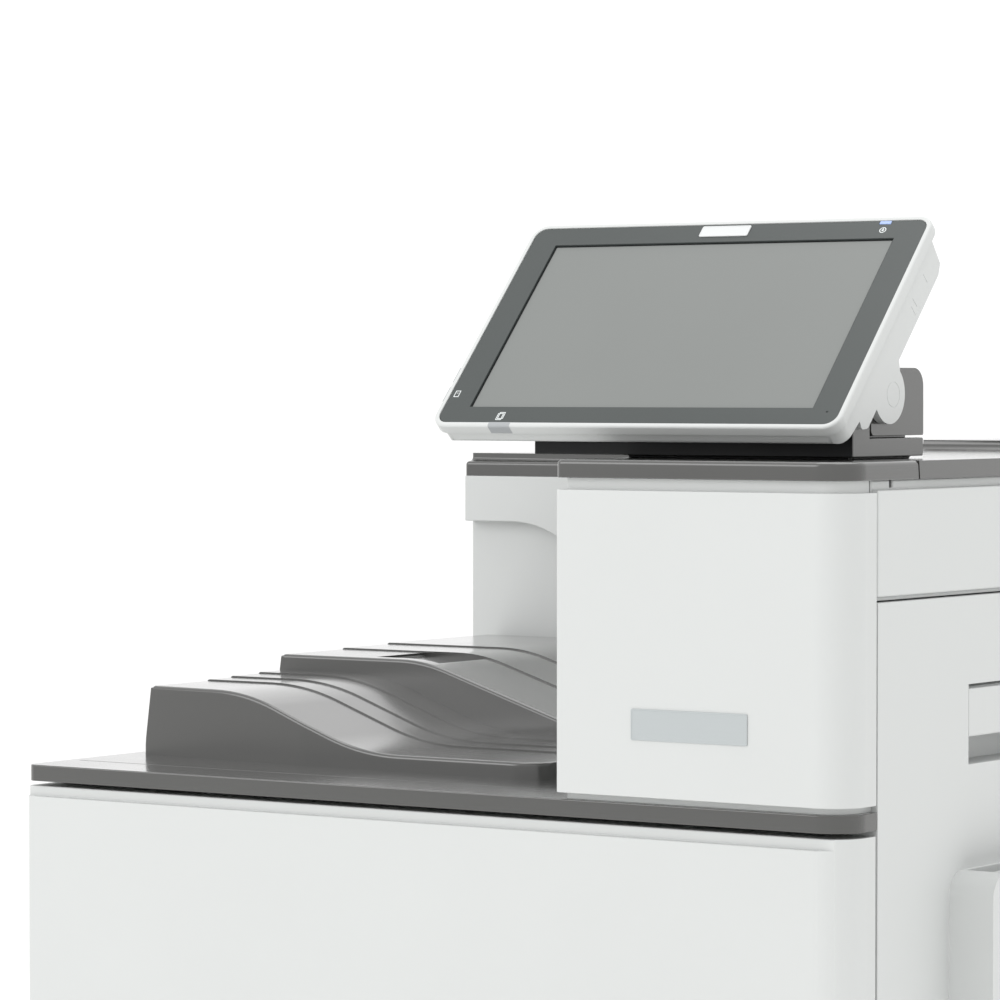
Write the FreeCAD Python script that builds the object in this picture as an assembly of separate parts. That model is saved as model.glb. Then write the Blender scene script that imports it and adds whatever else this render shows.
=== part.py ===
import FreeCAD, Part
import math
import os

# A3 colour laser printer body with a tilting touch panel. Millimetres, +Z up, X to the right seen from the
# front, Y towards the back. The origin is the centre of the footprint, at floor level.

# ---- overall sizes -------------------------------------------------------------------------------------
BODY_W = 560.0          # left cover to right cover
BULGE = 27.0            # bypass housing, proud of the right door
DEPTH = 685.0           # front door to rear cover
TOWER_W = 183.0         # right-hand tower above the deck
BAY_D = 460.5           # output bay, front to back

# ---- heights, from the floor up ------------------------------------------------------------------------
FOOT_H = 17.0
PAN_T = 3.0
DRAWER_Z = 24.0
DRAWER_H = 108.0
SEAM = 3.0              # gap between drawers, door and deck
DOOR_H = 325.0
DECK_T = 9.6
NECK_LOW = 3.4          # shadow gap under the tower cover
COVER_H = 164.7
NECK_HIGH = 6.4         # shadow gap above the tower cover
CAP_T = 9.9
CAP_DROP = 11.0         # the rear housing's cap lies this much lower than the tower's
TIER_H = 6.4            # raised tier at the back of the tower cap
TIER_DY = 392.0         # its front wall, behind the front door
HOUSE_TIER_H = 5.5      # the same on the rear housing's cap

# ---- shells, fits --------------------------------------------------------------------------------------
WALL = 2.5
FRONT_D = 31.0          # depth of the front pieces
SIDE_T = 12.0           # depth of the side and rear covers
DOOR_T = 24.0           # depth of the right door
SHEET = 2.0             # steel sheet
FIT = 0.8               # gap between neighbouring covers
RUN = 0.05              # radial clearance of a turning fit
SLIP = 0.3              # clearance of sliding faces
CORNER_R = 20.0         # upright front right corner
HINGE_R = 7.0           # knuckle of both doors
PIN_R = 2.0
LUG_T = 4.0
RECESS = 4.0            # necks lie this far behind the covers
NECK_SIDE = 5.2         # height of the side cover's neck

# ---- touch panel, in its own plane ---------------------------------------------------------------------
TILT = 42.995           # leaning back from upright
PANEL_X = 107.4         # bottom centre of the screen opening
PANEL_DY = 44.6
PANEL_DZ = 28.4
SCREEN_W = 223.5
SCREEN_H = 126.9
BEZEL_SIDE = 17.5
BEZEL_LOW = 11.9
BEZEL_HIGH = 13.4
RIM = 3.1               # white frame around the bezel
RIM_D = 6.5
CASE_D = 27.0
PIVOT_UP = 39.8
PIVOT_IN = 32.3
EAR_R = 16.4
EAR_T = 4.7
SHAFT_R = 4.0
BRACKET_W = 206.0
BRACKET_DX = 22.0       # bracket centre, right of the screen centre
POCKET_D = 16.0         # depth at which the case back is recessed for the bracket
BLOCK_GAP = 1.2         # seam between the hinge block and the bracket

# ---- drawers -------------------------------------------------------------------------------------------
TRAY_W = 454.0
TRAY_D = 520.0
TRAY_H = 78.0
TRAY_T = 3.0
PAPER_W = 297.0
SHEET_LONG = 420.0
SHEET_SHORT = 210.0
RUNNER_W = 13.0
GRIP_W = 150.0
GRIP_H = 30.0
GRIP_D = 22.0

# ---- output tray ---------------------------------------------------------------------------------------
TRAY_LEFT = 12.4        # tray edge from the left cover
TRAY_DRAFT = 8.0        # lean of its left wall, degrees from upright
STRIP_RISE = 0.9        # step from one strip of the front hump to the next
TRAY_RIGHT = 61.0       # tray edge from the tower
HUMP_H = 42.0
LIP_H = 9.5
SLOPE = 20.0
HUMP_R = 146.0
STEP_H = 54.5
STEP_SLOPE = 17.7
STEP_R = 118.0

# ---- right door, bypass --------------------------------------------------------------------------------
SIDE_DOOR_Z = 300.0
SIDE_DOOR_D = 514.0
GROOVE_Z = 693.7
GROOVE = 3.0
BULGE_W = 360.0
BULGE_H = 215.0
BYPASS_W = 330.0
BYPASS_T = 8.0
LEVER_W = 108.0

# ---- inside --------------------------------------------------------------------------------------------
BOTTLE_R = 36.0
BOTTLE_PITCH = 100.0
BOTTLE_L = 500.0
HOT_R = 17.7
FAN_R = 38.0

# ---- places worked out from the sizes above ------------------------------------------------------------
XL = -(BODY_W + BULGE) / 2
XR = XL + BODY_W
XT = XR - TOWER_W
YF = -DEPTH / 2
YB = DEPTH / 2
YS = YF + FRONT_D                       # seam behind the front pieces
Y_WALL = YF + BAY_D
DOOR_Z = DRAWER_Z + 2 * (DRAWER_H + SEAM)
DECK_Z = DOOR_Z + DOOR_H + SEAM
DECK_TOP = DECK_Z + DECK_T
COVER_Z = DECK_TOP + NECK_LOW
CAP_Z = COVER_Z + COVER_H + NECK_HIGH
CAP_TOP = CAP_Z + CAP_T
HOUSE_Z = CAP_Z - CAP_DROP
CH_X0 = XL + SIDE_T
CH_X1 = XR - 64.0
CH_XR = XR - DOOR_T - 4.0
CH_YF = YS + 2.5
CH_YB = YB - 95.0
SHELF_Z = DOOR_Z - 1.0
PATH_Y = YF + 290.0                     # centre of the paper path
TRAY_X1 = CH_X1 - RUNNER_W - 1.0
TRAY_X0 = TRAY_X1 - TRAY_W
SIDE_Y0 = YS + 1.2
SIDE_Y1 = SIDE_Y0 + SIDE_DOOR_D
BYPASS_Z = SIDE_DOOR_Z + 30.0
LEVER_Y0 = YF + 131.5
BOTTLE_Z = SHELF_Z + 255.0

PARTS = {}


def vec(x, y, z):
    return FreeCAD.Vector(x, y, z)


X_AXIS, Y_AXIS, Z_AXIS = vec(1, 0, 0), vec(0, 1, 0), vec(0, 0, 1)


def box(x0, x1, y0, y1, z0, z1):
    return Part.makeBox(x1 - x0, y1 - y0, z1 - z0, vec(x0, y0, z0))


def rod(radius, start, axis, length):
    return Part.makeCylinder(radius, length, vec(*start), axis)


def outline(corners, radii):
    """Closed wire through the corners, each turned with its own arc (radius 0 is a sharp corner)."""
    stops = []
    count = len(corners)
    for i in range(count):
        before, here, after = corners[i - 1], corners[i], corners[(i + 1) % count]
        if not radii[i]:
            stops.append((here, here, here))
            continue
        back = (before - here).normalize()
        ahead = (after - here).normalize()
        half = back.getAngle(ahead) / 2
        reach = radii[i] / math.tan(half)
        middle = (back + ahead).normalize() * (radii[i] / math.sin(half) - radii[i])
        stops.append((here + back * reach, here + middle, here + ahead * reach))
    edges = []
    for i in range(count):
        start, middle, end = stops[i]
        if radii[i]:
            edges.append(Part.Arc(start, middle, end).toShape())
        following = stops[(i + 1) % count][0]
        if (following - end).Length > 1e-6:
            edges.append(Part.LineSegment(end, following).toShape())
    return Part.Wire(edges)


def profile(plane, points, radii, start, end):
    """Solid whose section is an outline in the named plane, from start to end along the third axis."""
    place = {"xy": lambda a, b: vec(a, b, start), "xz": lambda a, b: vec(a, start, b),
             "yz": lambda a, b: vec(start, a, b)}[plane]
    along = {"xy": Z_AXIS, "xz": Y_AXIS, "yz": X_AXIS}[plane]
    turned = radii if isinstance(radii, (list, tuple)) else [radii] * len(points)
    wire = outline([place(a, b) for a, b in points], turned)
    return Part.Face(wire).extrude(along * (end - start))


def slab(x0, x1, y0, y1, z0, z1, radii=(0, 0, 0, 0)):
    """Block with rounded upright corners: front left, front right, back right, back left."""
    return profile("xy", [(x0, y0), (x1, y0), (x1, y1), (x0, y1)], list(radii), z0, z1)


def frame(x0, x1, y0, y1, z0, z1, wall, opened, radii=(0, 0, 0, 0)):
    """Hollow block; opened lists the faces left off, such as ('+y',)."""
    inner = {"-x": x0 + wall, "+x": x1 - wall, "-y": y0 + wall, "+y": y1 - wall,
             "-z": z0 + wall, "+z": z1 - wall}
    outer = {"-x": x0 - 1, "+x": x1 + 1, "-y": y0 - 1, "+y": y1 + 1, "-z": z0 - 1, "+z": z1 + 1}
    for face in opened:
        inner[face] = outer[face]
    kept = [max(r - wall, 0) for r in radii]
    core = slab(inner["-x"], inner["+x"], inner["-y"], inner["+y"], inner["-z"], inner["+z"], kept)
    return slab(x0, x1, y0, y1, z0, z1, radii).cut(core)


def fuse(shapes):
    result = shapes[0]
    for shape in shapes[1:]:
        result = result.fuse(shape)
    return result.removeSplitter()


def cut(shape, tools):
    for tool in tools:
        shape = shape.cut(tool)
    return shape


def add(name, *shapes):
    PARTS[name] = list(shapes)


# ---- chassis and covers --------------------------------------------------------------------------------
def front_axis():
    """Place of the front door's hinge line."""
    return YF + HINGE_R, DOOR_Z + HINGE_R


def side_axis():
    """Place of the right door's hinge line."""
    return XR - HINGE_R, SIDE_DOOR_Z + HINGE_R


def front_lugs():
    """Left ends of the two lugs that carry the front door."""
    return XL + 40.0, XR - 40.0 - LUG_T


def side_lugs():
    """Front ends of the two lugs that carry the right door."""
    return SIDE_Y0 + 20.0, SIDE_Y1 - 20.0 - LUG_T


def bottle_centres():
    first = XL + 93.5
    return [first + i * BOTTLE_PITCH for i in range(4)]


FEED_W, FEED_H = 330.0, 16.0


def feed_z(z0):
    """Lower edge of the feed slot beside the drawer that starts at z0."""
    return z0 + TRAY_H + 8.0


def chassis():
    floor = box(CH_X0, CH_XR, CH_YF, YB - SIDE_T, FOOT_H, FOOT_H + PAN_T)
    left = box(CH_X0, CH_X0 + SHEET, CH_YF, CH_YB, FOOT_H, DECK_Z)
    back = box(CH_X0, CH_XR, CH_YB - SHEET, CH_YB, FOOT_H, DECK_Z)
    front = box(CH_X0, CH_XR, CH_YF, CH_YF + SHEET, FOOT_H, DECK_Z)
    shelf = box(CH_X0, CH_X1, CH_YF, CH_YB, SHELF_Z, SHELF_Z + SHEET)
    side = box(CH_X1, CH_X1 + SHEET, CH_YF, CH_YB, FOOT_H, SHELF_Z + SHEET)
    body = fuse([floor, left, back, front, shelf, side])
    ay, az = front_axis()
    arm = HINGE_R - WALL - 0.3
    for x in front_lugs():
        lug = box(x, x + LUG_T, ay, CH_YF + SHEET, az - arm, az + arm)
        body = fuse([body, lug, rod(arm, (x, ay, az), X_AXIS, LUG_T)])
        body = body.cut(rod(PIN_R, (x - 1, ay, az), X_AXIS, LUG_T + 2))
    window = box(CH_X0 + SHEET, CH_X1, CH_YF - 1, CH_YF + SHEET + 1, FOOT_H + PAN_T, SHELF_Z)
    holes = [rod(BOTTLE_R + 2, (x, CH_YF - 1, BOTTLE_Z), Y_AXIS, SHEET + 2) for x in bottle_centres()]
    slots = [box(CH_X1 - 1, CH_X1 + SHEET + 1, PATH_Y - FEED_W / 2, PATH_Y + FEED_W / 2, z, z + FEED_H)
             for z in (feed_z(DRAWER_Z), feed_z(DRAWER_Z + DRAWER_H + SEAM))]
    add("chassis", cut(body, [window] + holes + slots))


def feet():
    inset = 46.0
    places = [(x, y) for x in (CH_X0 + inset, CH_XR - inset) for y in (CH_YF + inset, CH_YB - inset)]
    solids = []
    for x, y in places:
        sole = Part.makeCone(18, 21, 4, vec(x, y, 0))
        solids.append(fuse([sole, rod(21, (x, y, 4), Z_AXIS, FOOT_H - 4)]))
    add("rubber_feet", *solids)


def left_cover():
    add("left_cover", frame(XL, CH_X0, YS + FIT, YB - SIDE_T - FIT, PAN_T + FOOT_H, DECK_Z, WALL, ("+x",)))


def right_cover():
    """Fixed right side, below and behind the right door, with the door's two hinge lugs."""
    y0, y1, low = SIDE_Y0, YB - SIDE_T - FIT, PAN_T + FOOT_H
    sill, jamb, top = SIDE_DOOR_Z - 2.0, SIDE_Y1 + FIT, GROOVE_Z
    corners = [(y0, low), (y1, low), (y1, top), (jamb, top), (jamb, sill), (y0, sill)]
    outer = profile("yz", corners, 0, XR - SIDE_T, XR)
    w = WALL
    inner = [(y0 + w, low + w), (y1 - w, low + w), (y1 - w, top - w), (jamb + w, top - w),
             (jamb + w, sill - w), (y0 + w, sill - w)]
    shell = outer.cut(profile("yz", inner, 0, XR - SIDE_T - 1, XR - w))
    ax, az = side_axis()
    arm = HINGE_R - WALL - 0.3
    back = XR - DOOR_T
    for y in side_lugs():
        foot = box(back, XR - SIDE_T + w, y, y + LUG_T, sill - w - 2, sill)
        post = box(back, back + 5, y, y + LUG_T, sill - w - 2, az + arm)
        reach = box(back, ax, y, y + LUG_T, az - arm, az + arm)
        shell = fuse([shell, foot, post, reach, rod(arm, (ax, y, az), Y_AXIS, LUG_T)])
        shell = shell.cut(rod(PIN_R, (ax, y - 1, az), Y_AXIS, LUG_T + 2))
    add("right_cover", shell)


def right_upper_cover():
    """Cover above the right door, with a neck up to the cap and a tongue that backs the door's groove."""
    y1, low, top = YB - SIDE_T - FIT, GROOVE_Z + GROOVE, CAP_Z - NECK_SIDE
    shell = frame(XR - SIDE_T, XR, SIDE_Y0, y1, low, top, WALL, ("-x",))
    neck = box(XR - RECESS - WALL, XR - RECESS, SIDE_Y0, y1, top - WALL, CAP_Z)
    tongue = box(XR - SIDE_T, XR - RECESS, SIDE_Y0, y1, GROOVE_Z + FIT, low + WALL)
    add("right_upper_cover", fuse([shell, neck, tongue]))


INLET_X, INLET_Z = XL + 70.0, 70.0
FAN_X, FAN_Z = XL + 120.0, 420.0
PORT_X, PORT_Z = XL + 92.0, 190.0


def rear_cover():
    """Back panel with louvres, the fan's ring and its stub axle, and cut-outs for inlet and sockets."""
    y0 = YB - SIDE_T
    shell = frame(XL, XR, y0, YB, PAN_T + FOOT_H, HOUSE_Z - 1, WALL, ("-y",))
    ring = rod(FAN_R + 4, (FAN_X, YB - 30, FAN_Z), Y_AXIS, 28).cut(
        rod(FAN_R + 1.5, (FAN_X, YB - 31, FAN_Z), Y_AXIS, 28.5))
    slots = []
    for i in range(-5, 6):
        half = math.sqrt(FAN_R ** 2 - (i * 6.5) ** 2)
        slots.append(box(FAN_X - half, FAN_X + half, YB - WALL - 1, YB + 1, FAN_Z + i * 6.5 - 1.5,
                         FAN_Z + i * 6.5 + 1.5))
    for row in range(12):
        z = FAN_Z - 60 + row * 10
        slots.append(box(XL + 330, XL + 470, YB - WALL - 1, YB + 1, z, z + 3))
    boss = rod(9, (FAN_X, YB - WALL - 4, FAN_Z), Y_AXIS, 4 + WALL / 2)
    core = rod(9.5, (FAN_X, YB - WALL - 2, FAN_Z), Y_AXIS, WALL + 4)
    axle = rod(3, (FAN_X, YB - 28, FAN_Z), Y_AXIS, 26)
    body = cut(fuse([shell, ring, boss, axle]), [slot.cut(core) for slot in slots])
    inlet = box(INLET_X - 48, INLET_X + 48, y0 - 1, YB + 1, INLET_Z - 17, INLET_Z + 17)
    block = box(PORT_X - 40, PORT_X + 40, YB - 24, YB, PORT_Z - 14, PORT_Z + 14)
    network = box(PORT_X - 30, PORT_X - 16, YB - 20, YB + 1, PORT_Z - 6, PORT_Z + 6)
    device = box(PORT_X + 12, PORT_X + 25, YB - 18, YB + 1, PORT_Z - 6, PORT_Z + 6)
    add("rear_cover", cut(body.cut(inlet).fuse(block).removeSplitter(), [network, device]))


def power_inlet():
    """Appliance inlet and the rocker's housing, in one moulding, set in the rear cover."""
    x0, x1 = INLET_X - 48, INLET_X + 48
    block = box(x0, x1, YB - 30, YB, INLET_Z - 17, INLET_Z + 17)
    socket = slab(INLET_X - 36, INLET_X - 8, YB - 18, YB + 1, INLET_Z - 10, INLET_Z + 10)
    rocker = box(INLET_X + 10, INLET_X + 38, YB - 14, YB + 1, INLET_Z - 9, INLET_Z + 9)
    body = cut(block, [socket, rocker])
    for dx, dz in ((-7, -2), (0, 3), (7, -2)):
        x = INLET_X - 22 + dx
        body = body.fuse(box(x - 1, x + 1, YB - 18.5, YB - 6, INLET_Z + dz - 2.5, INLET_Z + dz + 2.5))
    bore = rod(1.5 + RUN, (INLET_X + 7, YB - 5, INLET_Z), X_AXIS, 34)
    add("power_inlet", body.cut(bore))


def power_switch():
    """Rocker, pressed at its lower end at rest."""
    x0, x1 = INLET_X + 10 + SLIP, INLET_X + 38 - SLIP
    half, y = 9 - 1.0, YB - 5
    shape = [(y - 3, INLET_Z - half), (y + 3, INLET_Z - half), (y + 1.5, INLET_Z), (y + 3, INLET_Z + half),
             (y - 3, INLET_Z + half)]
    key = profile("yz", shape, 0, x0, x1)
    stub = rod(1.5, (INLET_X + 7.5, y, INLET_Z), X_AXIS, 33)
    body = fuse([key, stub])
    body.rotate(vec(0, y, INLET_Z), X_AXIS, -8)
    add("power_switch", body)


def fan_rotor():
    y0, y1 = YB - 27, YB - 9
    hub = rod(14, (FAN_X, y0, FAN_Z), Y_AXIS, y1 - y0)
    blades = []
    for i in range(7):
        blade = box(-1.2, 1.2, y0 + 1, y1 - 1, 12, FAN_R - 1)
        blade.rotate(vec(0, (y0 + y1) / 2, 0), Z_AXIS, 28)
        blade.rotate(vec(0, 0, 0), Y_AXIS, i * 360 / 7)
        blade.translate(vec(FAN_X, 0, FAN_Z))
        blades.append(blade)
    add("fan_rotor", fuse([hub] + blades).cut(rod(3 + RUN, (FAN_X, y0 - 1, FAN_Z), Y_AXIS, y1 - y0 + 2)))


def deck():
    """Grey slab between the lower body and the tower, with the paper path's opening inside the tower."""
    body = slab(XL, XR, YF, YB - SIDE_T, DECK_Z, DECK_TOP, (6, CORNER_R, 0, 0))
    path = box(XT + 60, XR - DOOR_T - 2, PATH_Y - 216, PATH_Y + 240, DECK_Z - 1, DECK_TOP + 1)
    notch = box(XR - DOOR_T - 2, XR + 1, SIDE_Y0 - FIT, SIDE_Y1 + FIT, DECK_Z - 1, DECK_TOP + 1)
    jamb = box(XR - SIDE_T, XR + 1, SIDE_Y0, YB, DECK_Z - 1, DECK_TOP + 1)
    crease = box(XL + 8, XT + 1, YF + 38.5, YF + 40, DECK_TOP - 0.5, DECK_TOP + 1)
    add("deck", cut(body, [path, notch, jamb, crease]))


# ---- output tray and the housing behind it -------------------------------------------------------------
def slope_section(x0, x1, bend_x, base, high, low, angle, radius):
    """Outline of one strip of the tray: leaning wall, flat, an S-shaped slope down to the right, flat."""
    run = (high - low) / math.tan(math.radians(angle))
    top = bend_x + radius * math.tan(math.radians(angle / 2))
    lean = high * math.tan(math.radians(TRAY_DRAFT))
    points = [(x0, base), (x0 + lean, base + high), (top, base + high), (top + run, base + low), (x1, base + low),
              (x1, base)]
    return points, [0, 2.5, radius, radius, 3, 0]


HUMP_Y = YF + 94.5
BACK_HUMP_Y = HUMP_Y + 131.0


def output_tray():
    """Front hump: four strips side by side, each a little higher than the one before."""
    x0, x1 = XL + TRAY_LEFT, XT - TRAY_RIGHT
    edges = [HUMP_Y - 10.5, HUMP_Y + 54, HUMP_Y + 77, HUMP_Y + 105, BACK_HUMP_Y]
    strips = []
    for i in range(4):
        rise = STRIP_RISE * i
        points, radii = slope_section(x0, x1, x0 + 57, DECK_TOP, HUMP_H + rise, LIP_H + rise, SLOPE, HUMP_R)
        strips.append(profile("xz", points, radii, edges[i], edges[i + 1]))
    plan = [(x0, HUMP_Y), (x0 + 127, HUMP_Y - 10.5), (x1, HUMP_Y - 10.5), (x1, BACK_HUMP_Y),
            (x0, BACK_HUMP_Y)]
    trim = profile("xy", plan, [2, 60, 27, 0, 0], DECK_TOP - 1, DECK_TOP + 80)
    add("output_tray", fuse(strips).common(trim))


def output_tray_step():
    """Back hump: three strips, with a finger scoop in its front half."""
    x0, x1 = XL + TRAY_LEFT - 3.0, XT - TRAY_RIGHT
    edges = [BACK_HUMP_Y, BACK_HUMP_Y + 64, BACK_HUMP_Y + 113, Y_WALL - 9.5]
    rises = [0, STRIP_RISE, 2 * STRIP_RISE]
    strips = []
    for i in range(3):
        points, radii = slope_section(x0, x1, x0 + 99, DECK_TOP, STEP_H + rises[i], 14 + rises[i],
                                      STEP_SLOPE, STEP_R)
        strips.append(profile("xz", points, radii, edges[i], edges[i + 1]))
    sx, sy, top = x0 + 74, BACK_HUMP_Y + 11, DECK_TOP + STEP_H
    scoop = profile("xz", [(sx, top + 3), (sx, top - 2), (sx + 44, top - 8.5), (sx + 52, top + 3)],
                    [0, 1, 3, 0], sy, sy + 52)
    add("output_tray_step", fuse(strips).cut(scoop))


def rear_housing():
    """White block behind the tray, with a beam over a rounded recess on its front."""
    beam_z, step_z, proud, pillar = HOUSE_Z - 30.7, DECK_TOP + 52.9, 9.0, XL + 113.5
    shell = frame(XL, XT, Y_WALL, YB - SIDE_T, DECK_TOP, HOUSE_Z, WALL, ("+x", "+y"))
    face = [(XL, HOUSE_Z), (XT, HOUSE_Z), (XT, DECK_TOP), (pillar, DECK_TOP), (pillar, beam_z), (XL, beam_z)]
    beam = profile("xz", face, [0, 0, 0, 0, 75, 0], Y_WALL - proud, Y_WALL)
    step = box(XL, pillar, Y_WALL - 1.5, Y_WALL, DECK_TOP, step_z)
    add("rear_housing", fuse([shell, beam, step]))


def rear_housing_cap():
    top = HOUSE_Z + CAP_T - 0.2
    band = slab(XL, XT - FIT, Y_WALL - 9, YB - SIDE_T, HOUSE_Z, top, (2.5, 0, 0, 0))
    tier = slab(XL + 2, XT - FIT, Y_WALL - 4, YB - SIDE_T - 4, top, top + HOUSE_TIER_H, (2.5, 0, 0, 0))
    add("rear_housing_cap", fuse([band, tier]))


# ---- tower ---------------------------------------------------------------------------------------------
EXIT_Z = COVER_Z + 70.0
ROLLER_X = XT + 22.0


def tower_frame():
    """White inner structure: front neck, wall towards the tray with the paper exit, roller brackets."""
    start = SIDE_Y0 - 0.2
    neck = frame(XT + RECESS, XR - RECESS, YF + RECESS, start, DECK_TOP, CAP_Z, WALL, ("+y",),
                 (3, CORNER_R - RECESS, 0, 0))
    main = frame(XT, XR - SIDE_T, start, YB - SIDE_T, DECK_TOP, CAP_Z, WALL, ("+x", "-z"))
    back_rail = box(XR - SIDE_T - 3, XR - SIDE_T, SIDE_Y1 + 2, YB - SIDE_T, DECK_TOP, CAP_Z)
    front_web = box(XT + RECESS, XR - DOOR_T - 2, start, start + WALL, DECK_TOP, CAP_Z)
    body = fuse([neck, main, back_rail, front_web])
    slot = box(XT - 1, XT + WALL + 1, PATH_Y - 160, PATH_Y + 160, EXIT_Z - 14, EXIT_Z + 18)
    body = body.cut(slot)
    door_gap = box(XR - DOOR_T - 2, XR, start, SIDE_Y1 + 1, DECK_TOP - 1, GROOVE_Z + GROOVE)
    body = body.cut(door_gap)
    for y in (PATH_Y - 172, PATH_Y + 168):
        bracket = box(XT + 1, ROLLER_X + 7, y, y + 4, EXIT_Z - 16, EXIT_Z - 2)
        body = fuse([body, bracket]).cut(rod(3 + RUN, (ROLLER_X, y - 1, EXIT_Z - 9), Y_AXIS, 6))
    add("tower_frame", body)


def tower_front_cover():
    add("tower_front_cover", frame(XT, XR, YF, YS, COVER_Z, COVER_Z + COVER_H, WALL, ("+y",),
                                   (3, CORNER_R, 0, 0)).cut(
        slab(XT + RECESS, XR - RECESS, YF + RECESS, YS + 1, COVER_Z - 1, COVER_Z + COVER_H + 1,
             (3, CORNER_R - RECESS, 0, 0))))


NAME_X, NAME_Z, NAME_W, NAME_H = XT + 86.0, DECK_TOP + 42.6, 73.0, 16.8


def name_plate():
    add("name_plate", box(NAME_X - NAME_W / 2, NAME_X + NAME_W / 2, YF - 0.6, YF, NAME_Z - NAME_H / 2,
                          NAME_Z + NAME_H / 2))


def tower_caps():
    """Two grey lids, met by a slightly leaning seam."""
    seam_y, lean = YF + 75.0, 1.3
    front = slab(XT, XR, YF, seam_y + 5, CAP_Z, CAP_TOP, (4, CORNER_R, 0, 0))
    rear = slab(XT, XR, seam_y - 5, YB - SIDE_T, CAP_Z, CAP_TOP, (0, 0, 8, 0))
    keep_rear = profile("yz", [(seam_y + lean + FIT, CAP_Z - 1), (YB, CAP_Z - 1), (YB, CAP_TOP + 1),
                               (seam_y + FIT, CAP_TOP + 1)], 0, XT - 1, XR + 1)
    keep_front = profile("yz", [(YF - 1, CAP_Z - 1), (seam_y + lean, CAP_Z - 1), (seam_y, CAP_TOP + 1),
                                (YF - 1, CAP_TOP + 1)], 0, XT - 1, XR + 1)
    tier = slab(XT + 6, XR - 6, YF + TIER_DY, YB - SIDE_T - 4, CAP_TOP, CAP_TOP + TIER_H, (4, 8, 8, 4))
    add("tower_front_cap", front.common(keep_front))
    add("tower_rear_cap", fuse([rear.common(keep_rear), tier]))


# ---- touch panel: modelled upright in its own plane, then tilted ----------------------------------------
PANEL_Y = YF + PANEL_DY
PANEL_Z = CAP_TOP + PANEL_DZ
HALF_B = SCREEN_W / 2 + BEZEL_SIDE
HALF_R = HALF_B + RIM
LOW_B, HIGH_B = -BEZEL_LOW, SCREEN_H + BEZEL_HIGH
LOW_R, HIGH_R = LOW_B - RIM, HIGH_B + RIM
EAR_IN = BRACKET_W / 2 + 0.4


def tilt_in_place(shape):
    shape.rotate(vec(0, 0, 0), X_AXIS, -TILT)
    shape.translate(vec(PANEL_X, PANEL_Y, PANEL_Z))
    return shape


def pivot():
    """Hinge line of the panel, as Y and Z in the machine."""
    s, c = math.sin(math.radians(TILT)), math.cos(math.radians(TILT))
    return PANEL_Y + PIVOT_UP * s + PIVOT_IN * c, PANEL_Z + PIVOT_UP * c - PIVOT_IN * s


def panel_plate(half, low, high, d0, d1, radius):
    """Rounded plate in the panel's plane, from depth d0 to d1."""
    return profile("xz", [(-half, low), (half, low), (half, high), (-half, high)], radius, d0, d1)


def panel_front_frame():
    body = panel_plate(HALF_R, LOW_R, HIGH_R, 0, RIM_D, 10)
    seat = panel_plate(HALF_B + 0.2, LOW_B - 0.2, HIGH_B + 0.2, -1, 3.2, 7.2)
    through = panel_plate(SCREEN_W / 2 + 4, -4, SCREEN_H + 4, 0, RIM_D + 1, 2)
    add("panel_front_frame", tilt_in_place(cut(body, [seat, through])))


def panel_bezel():
    body = panel_plate(HALF_B, LOW_B, HIGH_B, 0.4, 3.2, 7)
    opening = panel_plate(SCREEN_W / 2, 0, SCREEN_H, 0, 4, 0)
    light = box(98.2, 105.8, 0, 4, HIGH_B - 2.6, HIGH_B + 1)
    add("panel_bezel", tilt_in_place(cut(body, [opening, light])))


def panel_display():
    add("panel_display", tilt_in_place(box(-SCREEN_W / 2 - 3, SCREEN_W / 2 + 3, 3.2, 6, -3, SCREEN_H + 3)))


def panel_status_light():
    add("panel_status_light", tilt_in_place(box(98.4, 105.6, 0.4, 3.2, HIGH_B - 2.4, HIGH_B - 0.1)))


def panel_badge():
    add("panel_badge", tilt_in_place(box(-16, 16, -0.2, 0.4, HIGH_B - 9.4, HIGH_B - 1.4)))


def panel_media_covers():
    side = HALF_R
    covers = [box(-side - 1.2, -side, 1.5, 5, up, up + 11) for up in (5, 20)]
    add("panel_media_covers", *[tilt_in_place(c) for c in covers])


def panel_rear_housing():
    """Back shell with the two hinge ears and the recess that clears the bracket."""
    half = max(HALF_R - 2.6, BRACKET_DX + EAR_IN + EAR_T)
    low = LOW_R + 1.5
    side = [(RIM_D, low), (16, low), (18.5, 7), (23.2, 5.2), (27.6, 10), (27.6, 28), (CASE_D, 40), (CASE_D, 124),
            (24, 130), (RIM_D, 133)]
    body = profile("yz", side, [0, 4, 0.8, 2, 4, 3, 0, 3, 0, 0], -half, half)
    body = body.common(panel_plate(half, low, HIGH_R, 0, 40, 9))
    hollow_low = box(-half + WALL, half - WALL, RIM_D - 1, 13, LOW_R + 6, 128)
    hollow_high = box(-half + WALL, half - WALL, RIM_D - 1, CASE_D - WALL, 70, 126)
    zone0, zone1 = BRACKET_DX - EAR_IN, BRACKET_DX + EAR_IN
    recess = box(zone0, zone1, POCKET_D, 40, LOW_R, PIVOT_UP + 27.5)
    body = cut(body, [hollow_low, hollow_high, recess])
    for x in (zone0 - EAR_T, zone1):
        ear = rod(EAR_R, (x, PIVOT_IN, PIVOT_UP), X_AXIS, EAR_T)
        neck = profile("yz", [(15, 26), (PIVOT_IN, PIVOT_UP - EAR_R), (PIVOT_IN, PIVOT_UP + EAR_R), (15, 68)],
                       0, x, x + EAR_T)
        body = fuse([body, neck, ear])
    bore_l = rod(SHAFT_R + RUN, (zone0 - EAR_T - 1, PIVOT_IN, PIVOT_UP), X_AXIS, EAR_T + 2)
    bore_r = rod(SHAFT_R + RUN, (zone1 - 1, PIVOT_IN, PIVOT_UP), X_AXIS, EAR_T - 0.2)
    add("panel_rear_housing", tilt_in_place(cut(body, [bore_l, bore_r])))


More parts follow.
